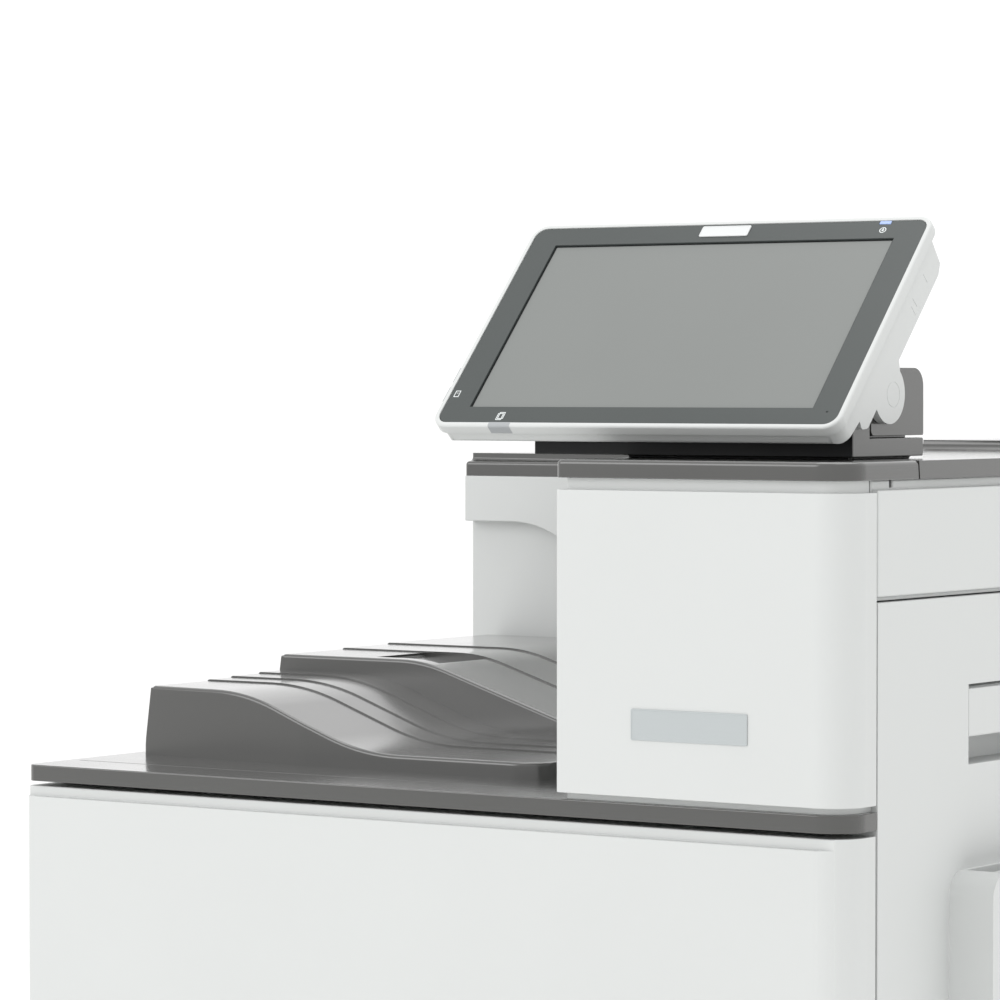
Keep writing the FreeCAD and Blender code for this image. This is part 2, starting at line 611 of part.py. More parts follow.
def panel_supports():
    """Bracket on the cap, hinge block on the bracket and the steel shaft through it."""
    py, pz = pivot()
    x0 = PANEL_X + BRACKET_DX - BRACKET_W / 2
    x1 = x0 + BRACKET_W
    foot, base = CAP_TOP + 1.4, CAP_TOP + 11.5
    front, split, back = py - 31.0, py - 12.5, py + 46.3
    step = [(front, foot), (back, foot), (back, base), (split, base), (split, pz - 3), (front, pz - 19)]
    body = profile("yz", step, [0, 1, 1, 0, 1, 1], x0, x1)
    plinth = box(max(x0, XT) + 3, x1 - 5, front + 4, back - 6, CAP_TOP, foot)
    add("panel_bracket", fuse([body, plinth]))
    seat, top = base + 0.1, pz + 14.2
    front, low = split + BLOCK_GAP, seat + BLOCK_GAP
    shape = [(front, low), (back, low), (back, top), (py - 4, top), (front, pz + 4)]
    block = profile("yz", shape, [3, 1, 10, 3, 2], x0, x1)
    leg = box(x0 + 8, x1 - 8, split + 6, back - 6, base, low)
    hole = rod(SHAFT_R, (x0 - 1, py, pz), X_AXIS, BRACKET_W + 2)
    add("panel_hinge_block", fuse([block, leg]).cut(hole))
    start = x0 - 0.4 - EAR_T
    add("panel_hinge_pin", rod(SHAFT_R, (start, py, pz), X_AXIS, BRACKET_W + 0.8 + 2 * EAR_T - 1.6))


# ---- front door and drawers ----------------------------------------------------------------------------
def front_door():
    """Shell open to the back and the bottom, with a knuckle along its lower front edge."""
    ay, az = front_axis()
    y1, top = YS - 1, DOOR_Z + DOOR_H
    shape = [(YF, DOOR_Z), (y1, DOOR_Z), (y1, top), (YF + 3, top), (YF + 3, top - 6), (YF, top - 6)]
    outer = profile("yz", shape, [HINGE_R, 0, 0, 0.8, 0.5, 0.8], XL, XR)
    room = slab(XL + WALL, XR - WALL, YF + WALL, YS + 1, DOOR_Z - 1, top - 8.5,
                (1, CORNER_R - WALL, 0, 0))
    corner = slab(XL, XR, YF, YS, DOOR_Z - 1, top + 1, (3, CORNER_R, 0, 0))
    body = fuse([outer.cut(room), rod(HINGE_R, (XL, ay, az), X_AXIS, BODY_W)]).common(corner)
    for x in front_lugs():
        gap = box(x - 0.5, x + LUG_T + 0.5, ay - HINGE_R + WALL, ay + HINGE_R + 1, az - HINGE_R - 1,
                  az + HINGE_R + 1)
        low = box(x - 0.5, x + LUG_T + 0.5, YF - 1, ay + HINGE_R + 1, az - HINGE_R - 1, az)
        body = cut(body, [gap, low, rod(PIN_R + RUN, (x - 6, ay, az), X_AXIS, LUG_T + 12)])
    add("front_door", body)


def door_hinge_pins():
    ay, az = front_axis()
    pins = [rod(PIN_R, (x - 5.5, ay, az), X_AXIS, LUG_T + 11) for x in front_lugs()]
    ax, sz = side_axis()
    pins += [rod(PIN_R, (ax, y - 5.5, sz), Y_AXIS, LUG_T + 11) for y in side_lugs()]
    add("door_hinge_pins", *pins)


def drawer_front(name, z0):
    z1 = z0 + DRAWER_H
    shell = frame(XL, XR, YF, YS - 1, z0, z1, WALL, ("+y",), (3, CORNER_R, 0, 0))
    mid, high = (XL + XR) / 2, z1 - 22
    block = box(mid - GRIP_W / 2 - WALL, mid + GRIP_W / 2 + WALL, YF + 1, YS - 1, high - GRIP_H - WALL,
                high + WALL)
    pocket = profile("yz", [(YF - 1, high - GRIP_H), (YF + GRIP_D, high - GRIP_H + 8), (YF + GRIP_D, high),
                            (YF - 1, high)], [0, 6, 0, 0], mid - GRIP_W / 2, mid + GRIP_W / 2)
    add(name, fuse([shell, block]).cut(pocket))


PLATE_W = 206.0
PLATE_D = 180.0
PLATE_PIN_R = 1.5
PLATE_UP = 9.0


def drawer_tray(name, z0, fixed):
    """Open box with side flanges on the runners; a fixed-size drawer has moulded paper stops."""
    y0, y1, low = YS - 1, YS - 1 + TRAY_D, z0 + 2
    body = frame(TRAY_X0, TRAY_X1, y0, y1, low, low + TRAY_H, TRAY_T, ("+z",))
    rim = low + TRAY_H
    reach = RUNNER_W - 4
    flanges = [box(TRAY_X0 - reach, TRAY_X0 + 1, CH_YF + 6, y1, rim - 2, rim),
               box(TRAY_X1 - 1, TRAY_X1 + reach, CH_YF + 6, y1, rim - 2, rim)]
    px, pz = TRAY_X1 - TRAY_T - PLATE_W, low + TRAY_T + PLATE_UP
    ears = []
    for y in (PATH_Y - PLATE_D / 2 - 6 - SLIP, PATH_Y + PLATE_D / 2 + SLIP):
        ears.append(box(px - 4, px + 4, y, y + 6, low + 1, pz + 4))
    pins = [rod(PLATE_PIN_R, (px, PATH_Y - PLATE_D / 2 - 4, pz), Y_AXIS, 12),
            rod(PLATE_PIN_R, (px, PATH_Y + PLATE_D / 2 - 8, pz), Y_AXIS, 12)]
    shapes = [body] + flanges + ears + pins
    if fixed:
        stop = TRAY_X1 - TRAY_T - 2 - SHEET_SHORT
        shapes.append(box(stop - 3, stop, PATH_Y - 40, PATH_Y + 40, low + 1, rim - 6))
        for y in (PATH_Y - PAPER_W / 2 - 4, PATH_Y + PAPER_W / 2 + 1):
            shapes.append(box(stop, TRAY_X1 - 30, y, y + 3, low + 1, rim - 6))
    add(name, fuse(shapes))


def lift_plate(name, z0):
    low = z0 + 2
    px, pz = TRAY_X1 - TRAY_T - PLATE_W, low + TRAY_T + PLATE_UP
    y0, y1 = PATH_Y - PLATE_D / 2, PATH_Y + PLATE_D / 2
    barrel = rod(3.5, (px, y0, pz), Y_AXIS, PLATE_D)
    sheet = box(px, TRAY_X1 - TRAY_T - 3, y0, y1, pz + 1.5, pz + 3.5)
    bores = [rod(PLATE_PIN_R + RUN, (px, y, pz), Y_AXIS, 10) for y in (y0 - 1, y1 - 9)]
    add(name, cut(fuse([barrel, sheet]), bores))


def drawer_fences(z0):
    """Side fences of the adjustable drawer, one each side of the paper, and its end fence."""
    floor = z0 + 2 + TRAY_T + SLIP
    top = z0 + 2 + TRAY_H - 6
    x0 = TRAY_X1 - 180
    for name, side in (("lower_side_fence_front", -1), ("lower_side_fence_back", 1)):
        face = PATH_Y + side * (PAPER_W / 2 + 1)
        ys = sorted((face, face + side * 3))
        foot = sorted((face, face + side * 24))
        upright = box(x0, x0 + 120, ys[0], ys[1], floor, top)
        base = box(x0 + 40, x0 + 80, foot[0], foot[1], floor, floor + 2)
        rib = profile("yz", [(face, floor), (face + side * 24, floor), (face, floor + 40)], 0, x0 + 58, x0 + 61)
        add(name, fuse([upright, base, rib]))
    x = TRAY_X1 - TRAY_T - 2 - SHEET_LONG
    upright = box(x - 3, x, PATH_Y - 45, PATH_Y + 45, floor, top)
    base = box(x - 20, x, PATH_Y - 20, PATH_Y + 20, floor, floor + 2)
    rib = profile("xz", [(x, floor), (x - 20, floor), (x, floor + 40)], 0, PATH_Y - 2, PATH_Y + 2)
    add("lower_end_fence", fuse([upright, base, rib]))


def drawer_runners():
    bars = []
    for z0 in (DRAWER_Z, DRAWER_Z + DRAWER_H + SEAM):
        top = z0 + 2 + TRAY_H - 2 - SLIP
        for x0, x1 in ((CH_X0 + SHEET, TRAY_X0 - 1), (TRAY_X1 + 1, CH_X1)):
            bars.append(box(x0, x1, CH_YF + 6, CH_YB - SHEET, top - 8, top))
    add("drawer_runners", *bars)


# ---- right door with lever and bypass ------------------------------------------------------------------
POCKET_X = XR + 3.0
TRAY_HINGE_X = XR + BULGE - 6.0


def lever_place():
    """Y and Z edges of the recess in the right door that holds the lever."""
    top = GROOVE_Z - 48.2
    return LEVER_Y0, LEVER_Y0 + LEVER_W, top - 43.8, top


def lever_axis():
    return XR - 5.0, lever_place()[3] - 5.0


def right_door():
    """Door shell with the bypass housing standing proud of it and a recess for the lever."""
    ax, az = side_axis()
    y0, y1, z0, z1 = SIDE_Y0, SIDE_Y1, SIDE_DOOR_Z, GROOVE_Z
    outer = profile("xz", [(XR - DOOR_T, z0), (XR, z0), (XR, z1), (XR - DOOR_T, z1)], [0, HINGE_R, 0.8, 0],
                    y0, y1)
    room = box(XR - DOOR_T - 1, XR - WALL, y0 + WALL, y1 - WALL, z0 - 1, z1 - WALL)
    b0, b1 = PATH_Y - BULGE_W / 2, PATH_Y + BULGE_W / 2
    top = BYPASS_Z + BULGE_H
    bulge = profile("yz", [(b0, BYPASS_Z), (b1, BYPASS_Z), (b1, top), (b0, top)], 14, XR - WALL, XR + BULGE)
    t0, t1 = PATH_Y - BYPASS_W / 2 - 1.5, PATH_Y + BYPASS_W / 2 + 1.5
    pocket = box(POCKET_X, XR + BULGE + 1, t0, t1, BYPASS_Z + 8, top + 1)
    ly0, ly1, lz0, lz1 = lever_place()
    case = box(XR - DOOR_T + 1, XR - 1, ly0 - WALL, ly1 + WALL, lz0 - WALL, lz1 + WALL)
    recess = box(XR - DOOR_T + 3, XR + 1, ly0, ly1, lz0, lz1)
    body = fuse([outer.cut(room), rod(HINGE_R, (ax, y0, az), Y_AXIS, y1 - y0), bulge, case])
    body = cut(body, [pocket, recess])
    for y in side_lugs():
        gap = box(ax - HINGE_R - 1, ax + HINGE_R - WALL, y - 0.5, y + LUG_T + 0.5, az - HINGE_R - 1,
                  az + HINGE_R + 1)
        low = box(ax - HINGE_R - 1, XR + 1, y - 0.5, y + LUG_T + 0.5, az - HINGE_R - 1, az)
        body = cut(body, [gap, low, rod(PIN_R + RUN, (ax, y - 6, az), Y_AXIS, LUG_T + 12)])
    px, pz = lever_axis()
    lever_bore = rod(2 + RUN, (px, ly0 - 2, pz), Y_AXIS, LEVER_W + 4)
    tray_bore = rod(3 + RUN, (TRAY_HINGE_X, t0 - 4, BYPASS_Z + 15), Y_AXIS, t1 - t0 + 8)
    add("right_door", cut(body, [lever_bore, tray_bore]))


def right_door_lever():
    """Pull lever, hung at its top edge; its foot swings out."""
    ly0, ly1, lz0, lz1 = lever_place()
    y0, y1 = ly0 + SLIP + 0.2, ly1 - SLIP - 0.2
    shape = [(XR - 4, lz0 + 15), (XR, lz0 + 15), (XR, lz1 - 2.5), (XR - 4, lz1 - 2.5)]
    plate = profile("xz", shape, 1, y0, y1)
    px, pz = lever_axis()
    knuckle = rod(3.4, (px, y0, pz), Y_AXIS, y1 - y0)
    stub = rod(2, (px, ly0 - 1.6, pz), Y_AXIS, LEVER_W + 3.2)
    add("right_door_lever", fuse([plate, knuckle, stub]))


def bypass():
    """Tray that folds out of the door, its sliding extension and the two paper guides."""
    y0, y1 = PATH_Y - BYPASS_W / 2, PATH_Y + BYPASS_W / 2
    hz = BYPASS_Z + 15
    x1, top = XR + BULGE, BYPASS_Z + BULGE_H
    x0 = x1 - BYPASS_T
    leaf = profile("xz", [(x0, hz), (x1, hz), (x1, top), (x0, top)], [0, 0, 3, 0], y0, y1)
    barrel = rod(6, (TRAY_HINGE_X, y0, hz), Y_AXIS, BYPASS_W)
    stub = rod(3, (TRAY_HINGE_X, y0 - 4.5, hz), Y_AXIS, BYPASS_W + 9)
    slot = box(x0 + 2, x1 - 2.5, PATH_Y - 110, PATH_Y + 110, hz + 30, top + 1)
    grip = rod(14, (x0 - 1, PATH_Y, top + 3), X_AXIS, BYPASS_T + 2)
    add("bypass_tray", cut(fuse([leaf, barrel, stub]), [slot, grip]))
    ex0, ex1 = x0 + 2 + SLIP, x1 - 2.5 - SLIP
    plate = box(ex0, ex1, PATH_Y - 110 + SLIP, PATH_Y + 110 - SLIP, hz + 36, top)
    add("bypass_extension", plate.cut(grip))
    for name, side in (("bypass_guide_front", -1), ("bypass_guide_back", 1)):
        face = PATH_Y + side * 150
        ys = sorted((face, face + side * 3))
        base = sorted((face - side * 26, face))
        fence = profile("xz", [(x0 - SLIP, hz + 14), (x0 - SLIP, hz + 110), (x0 - 12, hz + 92), (x0 - 12, hz + 24)],
                        [0, 0, 5, 5], ys[0], ys[1])
        foot = box(x0 - SLIP - 1.6, x0 - SLIP, base[0], base[1], hz + 30, hz + 70)
        add(name, fuse([fence, foot]))


# ---- engine --------------------------------------------------------------------------------------------
DRUM_Z = SHELF_Z + SHEET + 52.0
BELT_Z = DRUM_Z + 60.0


def laser_unit():
    """Scanner box on the shelf: lid with a bevelled rim and four exit windows."""
    x0, x1, y0, y1, z0 = XL + 40, XL + 452, CH_YF + 20, CH_YB - 60, SHELF_Z + SHEET
    case = profile("xz", [(x0, z0), (x1, z0), (x1, DRUM_Z), (x0, DRUM_Z)], [0, 0, 8, 8], y0, y1)
    windows = [box(x - 3, x + 3, y0 + 60, y1 - 60, DRUM_Z - 2, DRUM_Z + 1) for x in drum_centres()]
    add("laser_unit", cut(case, windows))


def drum_centres():
    return [XL + 110 + i * 92.0 for i in range(4)]


def drum_units():
    """Four sealed cartridges side by side, each with its drum's round back showing at the top."""
    units = []
    for x in drum_centres():
        shape = [(x - 42, DRUM_Z), (x + 42, DRUM_Z), (x + 42, DRUM_Z + 34), (x + 20, DRUM_Z + 46),
                 (x - 42, DRUM_Z + 46)]
        case = profile("xz", shape, [3, 3, 3, 3, 6], CH_YF + 12, CH_YB - 30)
        drum = rod(20, (x + 4, CH_YF + 24, BELT_Z - 20.2), Y_AXIS, CH_YB - CH_YF - 66)
        units.append(fuse([case, drum]))
    add("drum_units", *units)


def transfer_belt_unit():
    """Belt loop on its frame, lying on the four drums."""
    x0, x1 = drum_centres()[0] - 50, drum_centres()[3] + 50
    y0, y1 = CH_YF + 18, CH_YB - 36
    belt = profile("xz", [(x0, BELT_Z), (x1, BELT_Z), (x1, BELT_Z + 36), (x0, BELT_Z + 36)], 17.5, y0, y1)
    core = profile("xz", [(x0 + 2, BELT_Z + 2), (x1 - 2, BELT_Z + 2), (x1 - 2, BELT_Z + 34), (x0 + 2, BELT_Z + 34)],
                   15.5, y0 + 6, y1 - 6)
    rails = [box(x0 + 20, x1 - 20, y, y + 8, BELT_Z + 36, BELT_Z + 48) for y in (y0, y1 - 8)]
    add("transfer_belt_unit", fuse([belt.cut(core)] + rails))


def toner_cradle():
    """Shelf between the front and back plates with four troughs for the bottles."""
    xs = bottle_centres()
    low, rim = BELT_Z + 52, BOTTLE_Z - 12
    body = box(xs[0] - 46, xs[3] + 46, CH_YF + SHEET, CH_YB - SHEET, low, rim)
    troughs = [rod(BOTTLE_R + SLIP, (x, CH_YF, BOTTLE_Z), Y_AXIS, DEPTH) for x in xs]
    add("toner_cradle", cut(body, troughs))


def toner_bottles():
    """Ribbed bottle with a turning grip at its front end."""
    y0 = YF + 15.0
    for i, x in enumerate(bottle_centres()):
        body = rod(BOTTLE_R - 1.5, (x, y0 + 8, BOTTLE_Z), Y_AXIS, BOTTLE_L - 8)
        ribs = [rod(BOTTLE_R, (x, y0 + 60 + k * 44, BOTTLE_Z), Y_AXIS, 8) for k in range(10)]
        neck = rod(BOTTLE_R - 6, (x, y0 + 2, BOTTLE_Z), Y_AXIS, 8)
        grip = box(x - 24, x + 24, y0 - 6, y0 + 3, BOTTLE_Z - 4, BOTTLE_Z + 4)
        add("toner_bottle_%d" % (i + 1), fuse([body, neck, grip] + ribs))


FUSER_X = XR - DOOR_T - 2.5
FUSER_Z = DECK_TOP + 34.0


def fuser():
    """Side plates tied by a hood, and the hot and pressure rollers side by side in them."""
    x1 = FUSER_X
    x0 = x1 - 82
    hot, press = x0 + 21.5, x0 + 21.5 + 2 * HOT_R + 0.5
    ya, yb = PATH_Y - 222, PATH_Y + 242
    sides = [box(x0, x1, y, y + 4, DECK_TOP, FUSER_Z + 30) for y in (ya, yb)]
    hood = box(x0, x1, ya, yb + 4, FUSER_Z + 28, FUSER_Z + 30)
    gap = box((hot + press) / 2 - 6, (hot + press) / 2 + 6, ya + 20, yb - 16, FUSER_Z + 27, FUSER_Z + 31)
    bores = [rod(5 + RUN, (x, ya - 1, FUSER_Z), Y_AXIS, yb - ya + 6) for x in (hot, press)]
    add("fuser_frame", cut(fuse(sides + [hood]), [gap] + bores))
    for name, x in (("fuser_hot_roller", hot), ("fuser_pressure_roller", press)):
        barrel = rod(HOT_R, (x, ya + 10, FUSER_Z), Y_AXIS, yb - ya - 16)
        shaft = rod(5, (x, ya - 3, FUSER_Z), Y_AXIS, yb - ya + 10)
        flat = box(x + 3.5, x + 6, ya - 4, ya - 0.5, FUSER_Z - 6, FUSER_Z + 6)
        add(name, fuse([barrel, shaft]).cut(flat))


def exit_roller():
    """Shaft with four rubber tyres behind the paper exit."""
    z, y0 = EXIT_Z - 9, PATH_Y - 176
    shaft = rod(3, (ROLLER_X, y0, z), Y_AXIS, 352)
    tyres = [rod(9, (ROLLER_X, PATH_Y + dy - 10, z), Y_AXIS, 20) for dy in (-120, -40, 40, 120)]
    add("exit_roller", fuse([shaft] + tyres))


def main():
    lower, upper = DRAWER_Z, DRAWER_Z + DRAWER_H + SEAM
    for make in (chassis, feet, left_cover, right_cover, right_upper_cover, rear_cover, power_inlet,
                 power_switch, fan_rotor, deck, output_tray, output_tray_step, rear_housing,
                 rear_housing_cap, tower_frame, tower_front_cover, name_plate, tower_caps,
                 panel_front_frame, panel_bezel, panel_display, panel_status_light, panel_badge,
                 panel_media_covers, panel_rear_housing, panel_supports, front_door, door_hinge_pins,
                 drawer_runners, right_door, right_door_lever, bypass, laser_unit, drum_units,
                 transfer_belt_unit, toner_cradle, toner_bottles, fuser, exit_roller):
        make()
    for prefix, z0, fixed in (("lower", lower, False), ("upper", upper, True)):
        drawer_front(prefix + "_drawer_front", z0)
        drawer_tray(prefix + "_drawer_tray", z0, fixed)
        lift_plate(prefix + "_lift_plate", z0)
    drawer_fences(lower)
    os.makedirs("parts", exist_ok=True)
    for name, shapes in sorted(PARTS.items()):
        solids = [solid for shape in shapes for solid in shape.Solids]
        whole = solids[0] if len(solids) == 1 else Part.makeCompound(solids)
        whole.exportStep(os.path.join("parts", name + ".step"))
        bounds = whole.BoundBox
        print("%-24s %2d solid(s) valid=%s  x %.1f %.1f  y %.1f %.1f  z %.1f %.1f" % (
            name, len(solids), whole.isValid(), bounds.XMin, bounds.XMax, bounds.YMin, bounds.YMax,
            bounds.ZMin, bounds.ZMax))
    print(len(PARTS), "nodes")


if __name__ == "__main__":
    main()
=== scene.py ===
"""A3 colour printer with a tilting touch panel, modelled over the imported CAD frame. Metres, +Z up."""

import math

import bmesh
import bpy
from bpy.props import FloatProperty, FloatVectorProperty, PointerProperty
from mathutils import Matrix, Vector


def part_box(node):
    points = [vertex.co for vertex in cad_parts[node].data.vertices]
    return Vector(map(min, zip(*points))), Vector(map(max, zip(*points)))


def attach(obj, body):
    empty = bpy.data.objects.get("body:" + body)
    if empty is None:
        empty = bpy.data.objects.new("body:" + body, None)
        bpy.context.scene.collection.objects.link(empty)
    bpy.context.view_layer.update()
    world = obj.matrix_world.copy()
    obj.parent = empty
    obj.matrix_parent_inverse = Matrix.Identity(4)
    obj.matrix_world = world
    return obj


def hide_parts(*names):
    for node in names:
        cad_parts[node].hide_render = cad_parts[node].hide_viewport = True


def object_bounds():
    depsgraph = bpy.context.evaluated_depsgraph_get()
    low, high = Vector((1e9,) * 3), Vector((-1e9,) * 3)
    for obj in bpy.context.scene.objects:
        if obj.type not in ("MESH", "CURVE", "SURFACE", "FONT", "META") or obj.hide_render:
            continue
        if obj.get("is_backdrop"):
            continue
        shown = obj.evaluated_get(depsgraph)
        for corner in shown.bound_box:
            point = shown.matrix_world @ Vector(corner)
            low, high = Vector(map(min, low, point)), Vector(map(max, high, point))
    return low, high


bl_info = {
    "name": "Colour printer",
    "version": (1, 0, 0),
    "blender": (4, 5, 0),
    "location": "View3D > Sidebar > Printer",
    "description": "Models the covers, touch panel, trays and doors of an A3 colour printer",
    "category": "Object",
}

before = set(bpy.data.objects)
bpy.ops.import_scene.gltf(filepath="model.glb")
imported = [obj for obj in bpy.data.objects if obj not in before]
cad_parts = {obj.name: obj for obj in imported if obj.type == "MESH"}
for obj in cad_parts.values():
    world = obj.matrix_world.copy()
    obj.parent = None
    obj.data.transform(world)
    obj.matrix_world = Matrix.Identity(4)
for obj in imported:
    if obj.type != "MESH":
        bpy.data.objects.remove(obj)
CAD_LOW, CAD_HIGH = (corner.copy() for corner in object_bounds())
MM = 0.001

# Touch panel: bottom centre of the screen opening, and its lean back from upright.
PANEL_AT = Vector((107.4 * MM, -297.9 * MM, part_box("tower_front_cap")[1].z + 28.4 * MM))
PANEL_LEAN = math.radians(42.995)
SCREEN_HALF = 111.75 * MM
SCREEN_UP = 126.9 * MM
BEZEL_HALF = 129.25 * MM
BEZEL_LOW = -11.9 * MM
BEZEL_HIGH = 140.3 * MM
BEZEL_FACE = 0.4 * MM
RIM = 3.1 * MM
LAMP_SYMBOL = (102.5 * MM, BEZEL_FACE, 133.2 * MM)

# Back of the panel, in the same plane: outer wall, inner wall of the left ear, hinge axis, row of screws.
SHELL_HALF = 22 * MM + 103.4 * MM + 4.7 * MM
EAR_INNER = -81.4 * MM - 4.7 * MM
HINGE_DEPTH, HINGE_UP = 35.3 * MM, 42 * MM
SCREW_ACROSS = (-100, -34, 34, 100)
SCREW_UP = 112 * MM

# Tower: wall and height of the raised tier on the rear lid, slit in the right neck, notch below it.
TIER_WALL, TIER_RISE = 49.5 * MM, 6.4 * MM
SLIT_FRONT, SLIT_BACK = -313.1 * MM, -311.7 * MM
NOTCH_FRONT, NOTCH_BACK = -291 * MM, -288 * MM


def linear(code):
    """sRGB hex colour as linear red, green, blue and alpha."""
    channels = [int(code[i:i + 2], 16) / 255 for i in (1, 3, 5)]
    return [c / 12.92 if c <= 0.04045 else ((c + 0.055) / 1.055) ** 2.4 for c in channels] + [1.0]


def colour(name, description, code):
    return FloatVectorProperty(name=name, description=description, subtype="COLOR", size=4, min=0.0, max=1.0,
                               default=linear(code))


def length(name, description, default):
    return FloatProperty(name=name, description=description, default=default, min=0.0, unit="LENGTH")


class PrinterSizes(bpy.types.PropertyGroup):
    """Edge rounds and small details a maker would change."""
    cover_edge: length("Cover edge", "Round on the edges of the white covers", 1.3 * MM)
    lid_edge: length("Lid edge", "Round on the top edges of the grey lids", 2.6 * MM)
    tray_edge: length("Tray edge", "Round on the outer edges of the output tray", 2.4 * MM)
    deck_edge: length("Deck edge", "Round on the front edge of the deck", 1.4 * MM)
    rim_edge: length("Panel rim edge", "Round on the outer front edge of the panel", 1.3 * MM)
    glass_depth: length("Glass depth", "How far the touch glass lies behind the bezel", 1.6 * MM)
    grain: length("Grain", "Spacing of the moulded surface grain", 1.3 * MM)
    floor_size: length("Floor size", "Side of the floor sheet", 400.0)


class PrinterColours(bpy.types.PropertyGroup):
    """Finishes a maker would repaint."""
    white: colour("White covers", "Moulded white plastic", "#CACCCB")
    grey: colour("Grey covers", "Moulded warm grey plastic", "#393937")
    bezel: colour("Bezel", "Printed border of the touch panel", "#3F4443")
    screen: colour("Screen", "Unlit display", "#787B79")
    lamp: colour("Lamp", "Status lamp", "#93A6CF")
    plate: colour("Plate", "Blank name plate", "#B3B8B9")
    badge: colour("Badge", "Blank badge on the bezel", "#D2D4D4")
    inner: colour("Inner grey", "Plastic inside the machine", "#55585A")
    fence: colour("Fence", "Paper fences and handled parts", "#2E8B6B")


# ---- modelling helpers ---------------------------------------------------------------------------------
def begin(piece=None):
    """Object mode with nothing selected, or only the piece."""
    if bpy.context.object and bpy.context.object.mode != "OBJECT":
        bpy.ops.object.mode_set(mode="OBJECT")
    bpy.ops.object.select_all(action="DESELECT")
    if piece:
        piece.select_set(True)
        bpy.context.view_layer.objects.active = piece


def settle(piece):
    """Puts a piece's place and turn into its mesh."""
    begin(piece)
    bpy.ops.object.transform_apply(location=True, rotation=True, scale=True)
    return piece


def block(name, low, high):
    """Cube between two corners."""
    begin()
    bpy.ops.mesh.primitive_cube_add(size=1, location=[(a + b) / 2 for a, b in zip(low, high)],
                                    scale=[b - a for a, b in zip(low, high)])
    bpy.context.object.name = name
    return settle(bpy.context.object)


def disc(name, centre, radius, depth, axis, sides=48):
    """Short cylinder about an axis, 'X', 'Y' or 'Z', centred on a point."""
    begin()
    turn = {"X": (0, math.pi / 2, 0), "Y": (math.pi / 2, 0, 0), "Z": (0, 0, 0)}[axis]
    bpy.ops.mesh.primitive_cylinder_add(vertices=sides, radius=radius, depth=depth, location=centre,
                                        rotation=turn)
    bpy.context.object.name = name
    return settle(bpy.context.object)


def choose(piece, kind, wanted):
    """Edit mode with only the wanted vertices, edges or faces selected."""
    begin(piece)
    bpy.ops.object.mode_set(mode="EDIT")
    bpy.ops.mesh.select_mode(type=kind)
    bpy.ops.mesh.select_all(action="DESELECT")
    shape = bmesh.from_edit_mesh(piece.data)
    for element in {"VERT": shape.verts, "EDGE": shape.edges, "FACE": shape.faces}[kind]:
        element.select_set(bool(wanted(element)))
    bmesh.update_edit_mesh(piece.data)


def along(edge, axis):
    """Whether an edge runs along an axis."""
    run = edge.verts[1].co - edge.verts[0].co
    return run.length > 0 and abs(run.normalized().dot(axis)) > 0.999


def facing(face, axis, least=0.95):
    return face.normal.dot(axis) > least


RIGHT, BACK, UP = Vector((1, 0, 0)), Vector((0, 1, 0)), Vector((0, 0, 1))


def round_edges(piece, wanted, radius, segments=4, clamp=True):
    choose(piece, "EDGE", wanted)
    bpy.ops.mesh.bevel(offset=radius, segments=segments, affect="EDGES", clamp_overlap=clamp)
    bpy.ops.object.mode_set(mode="OBJECT")
    return piece


def soften(piece, width, segments=2, angle=35):
    """Rounds what sharp edges are left, and shades across the shallow ones."""
    begin(piece)
    bevel = piece.modifiers.new("Edge round", "BEVEL")
    bevel.width = width
    bevel.segments = segments
    bevel.limit_method = "ANGLE"
    bevel.angle_limit = math.radians(angle)
    bpy.ops.object.modifier_apply(modifier=bevel.name)
    bpy.ops.object.shade_smooth_by_angle(angle=math.radians(38))
    flats = piece.modifiers.new("Flat faces stay flat", "WEIGHTED_NORMAL")
    flats.keep_sharp = True
    flats.weight = 100
    bpy.ops.object.modifier_apply(modifier=flats.name)
    return piece


def carve(piece, *tools):
    """Cuts the tools' shapes out of the piece, and removes the tools."""
    for tool in tools:
        begin(piece)
        cutter = piece.modifiers.new("Cut", "BOOLEAN")
        cutter.operation = "DIFFERENCE"
        cutter.solver = "EXACT"
        cutter.object = tool
        bpy.ops.object.modifier_apply(modifier=cutter.name)
        bpy.data.objects.remove(tool)
    return piece


def moulding(node, name):
    """Copy of a CAD node's shape with its flat faces made whole."""
    piece = bpy.data.objects.new(name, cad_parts[node].data.copy())
    bpy.context.scene.collection.objects.link(piece)
    piece.data.materials.clear()
    choose(piece, "FACE", lambda face: True)
    bpy.ops.mesh.remove_doubles(threshold=0.004 * MM)
    bpy.ops.mesh.dissolve_limited(angle_limit=math.radians(0.4))
    bpy.ops.object.mode_set(mode="OBJECT")
    return piece


def join(name, pieces):
    """Several shapes as one piece."""
    begin(pieces[0])
    for piece in pieces:
        piece.select_set(True)
    bpy.ops.object.join()
    pieces[0].name = name
    return pieces[0]


def copies(piece, places):
    """The piece and a copy of it, with its own mesh, moved by each further offset."""
    made = [piece]
    for place in places:
        begin(piece)
        bpy.ops.object.duplicate(linked=False)
        other = bpy.context.object
        other.location = place
        made.append(settle(other))
    return made


def lean(piece):
    """From the panel's upright plane to its place on the machine."""
    piece.matrix_world = Matrix.Translation(PANEL_AT) @ Matrix.Rotation(-PANEL_LEAN, 4, "X")
    return settle(piece)


def fit(piece, body, slot, material=None, nodes=()):
    """Rides on its body, takes its finish unless it has one, and stands for its CAD nodes."""
    begin()
    if material:
        piece.data.materials.clear()
        piece.data.materials.append(material)
    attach(piece, body)
    if nodes:
        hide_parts(*nodes)
    return piece


def recolour(piece, material, wanted):
    """A second material on the wanted faces."""
    piece.data.materials.append(material)
    index = len(piece.data.materials) - 1
    for face in piece.data.polygons:
        if wanted(face):
            face.material_index = index
    return piece


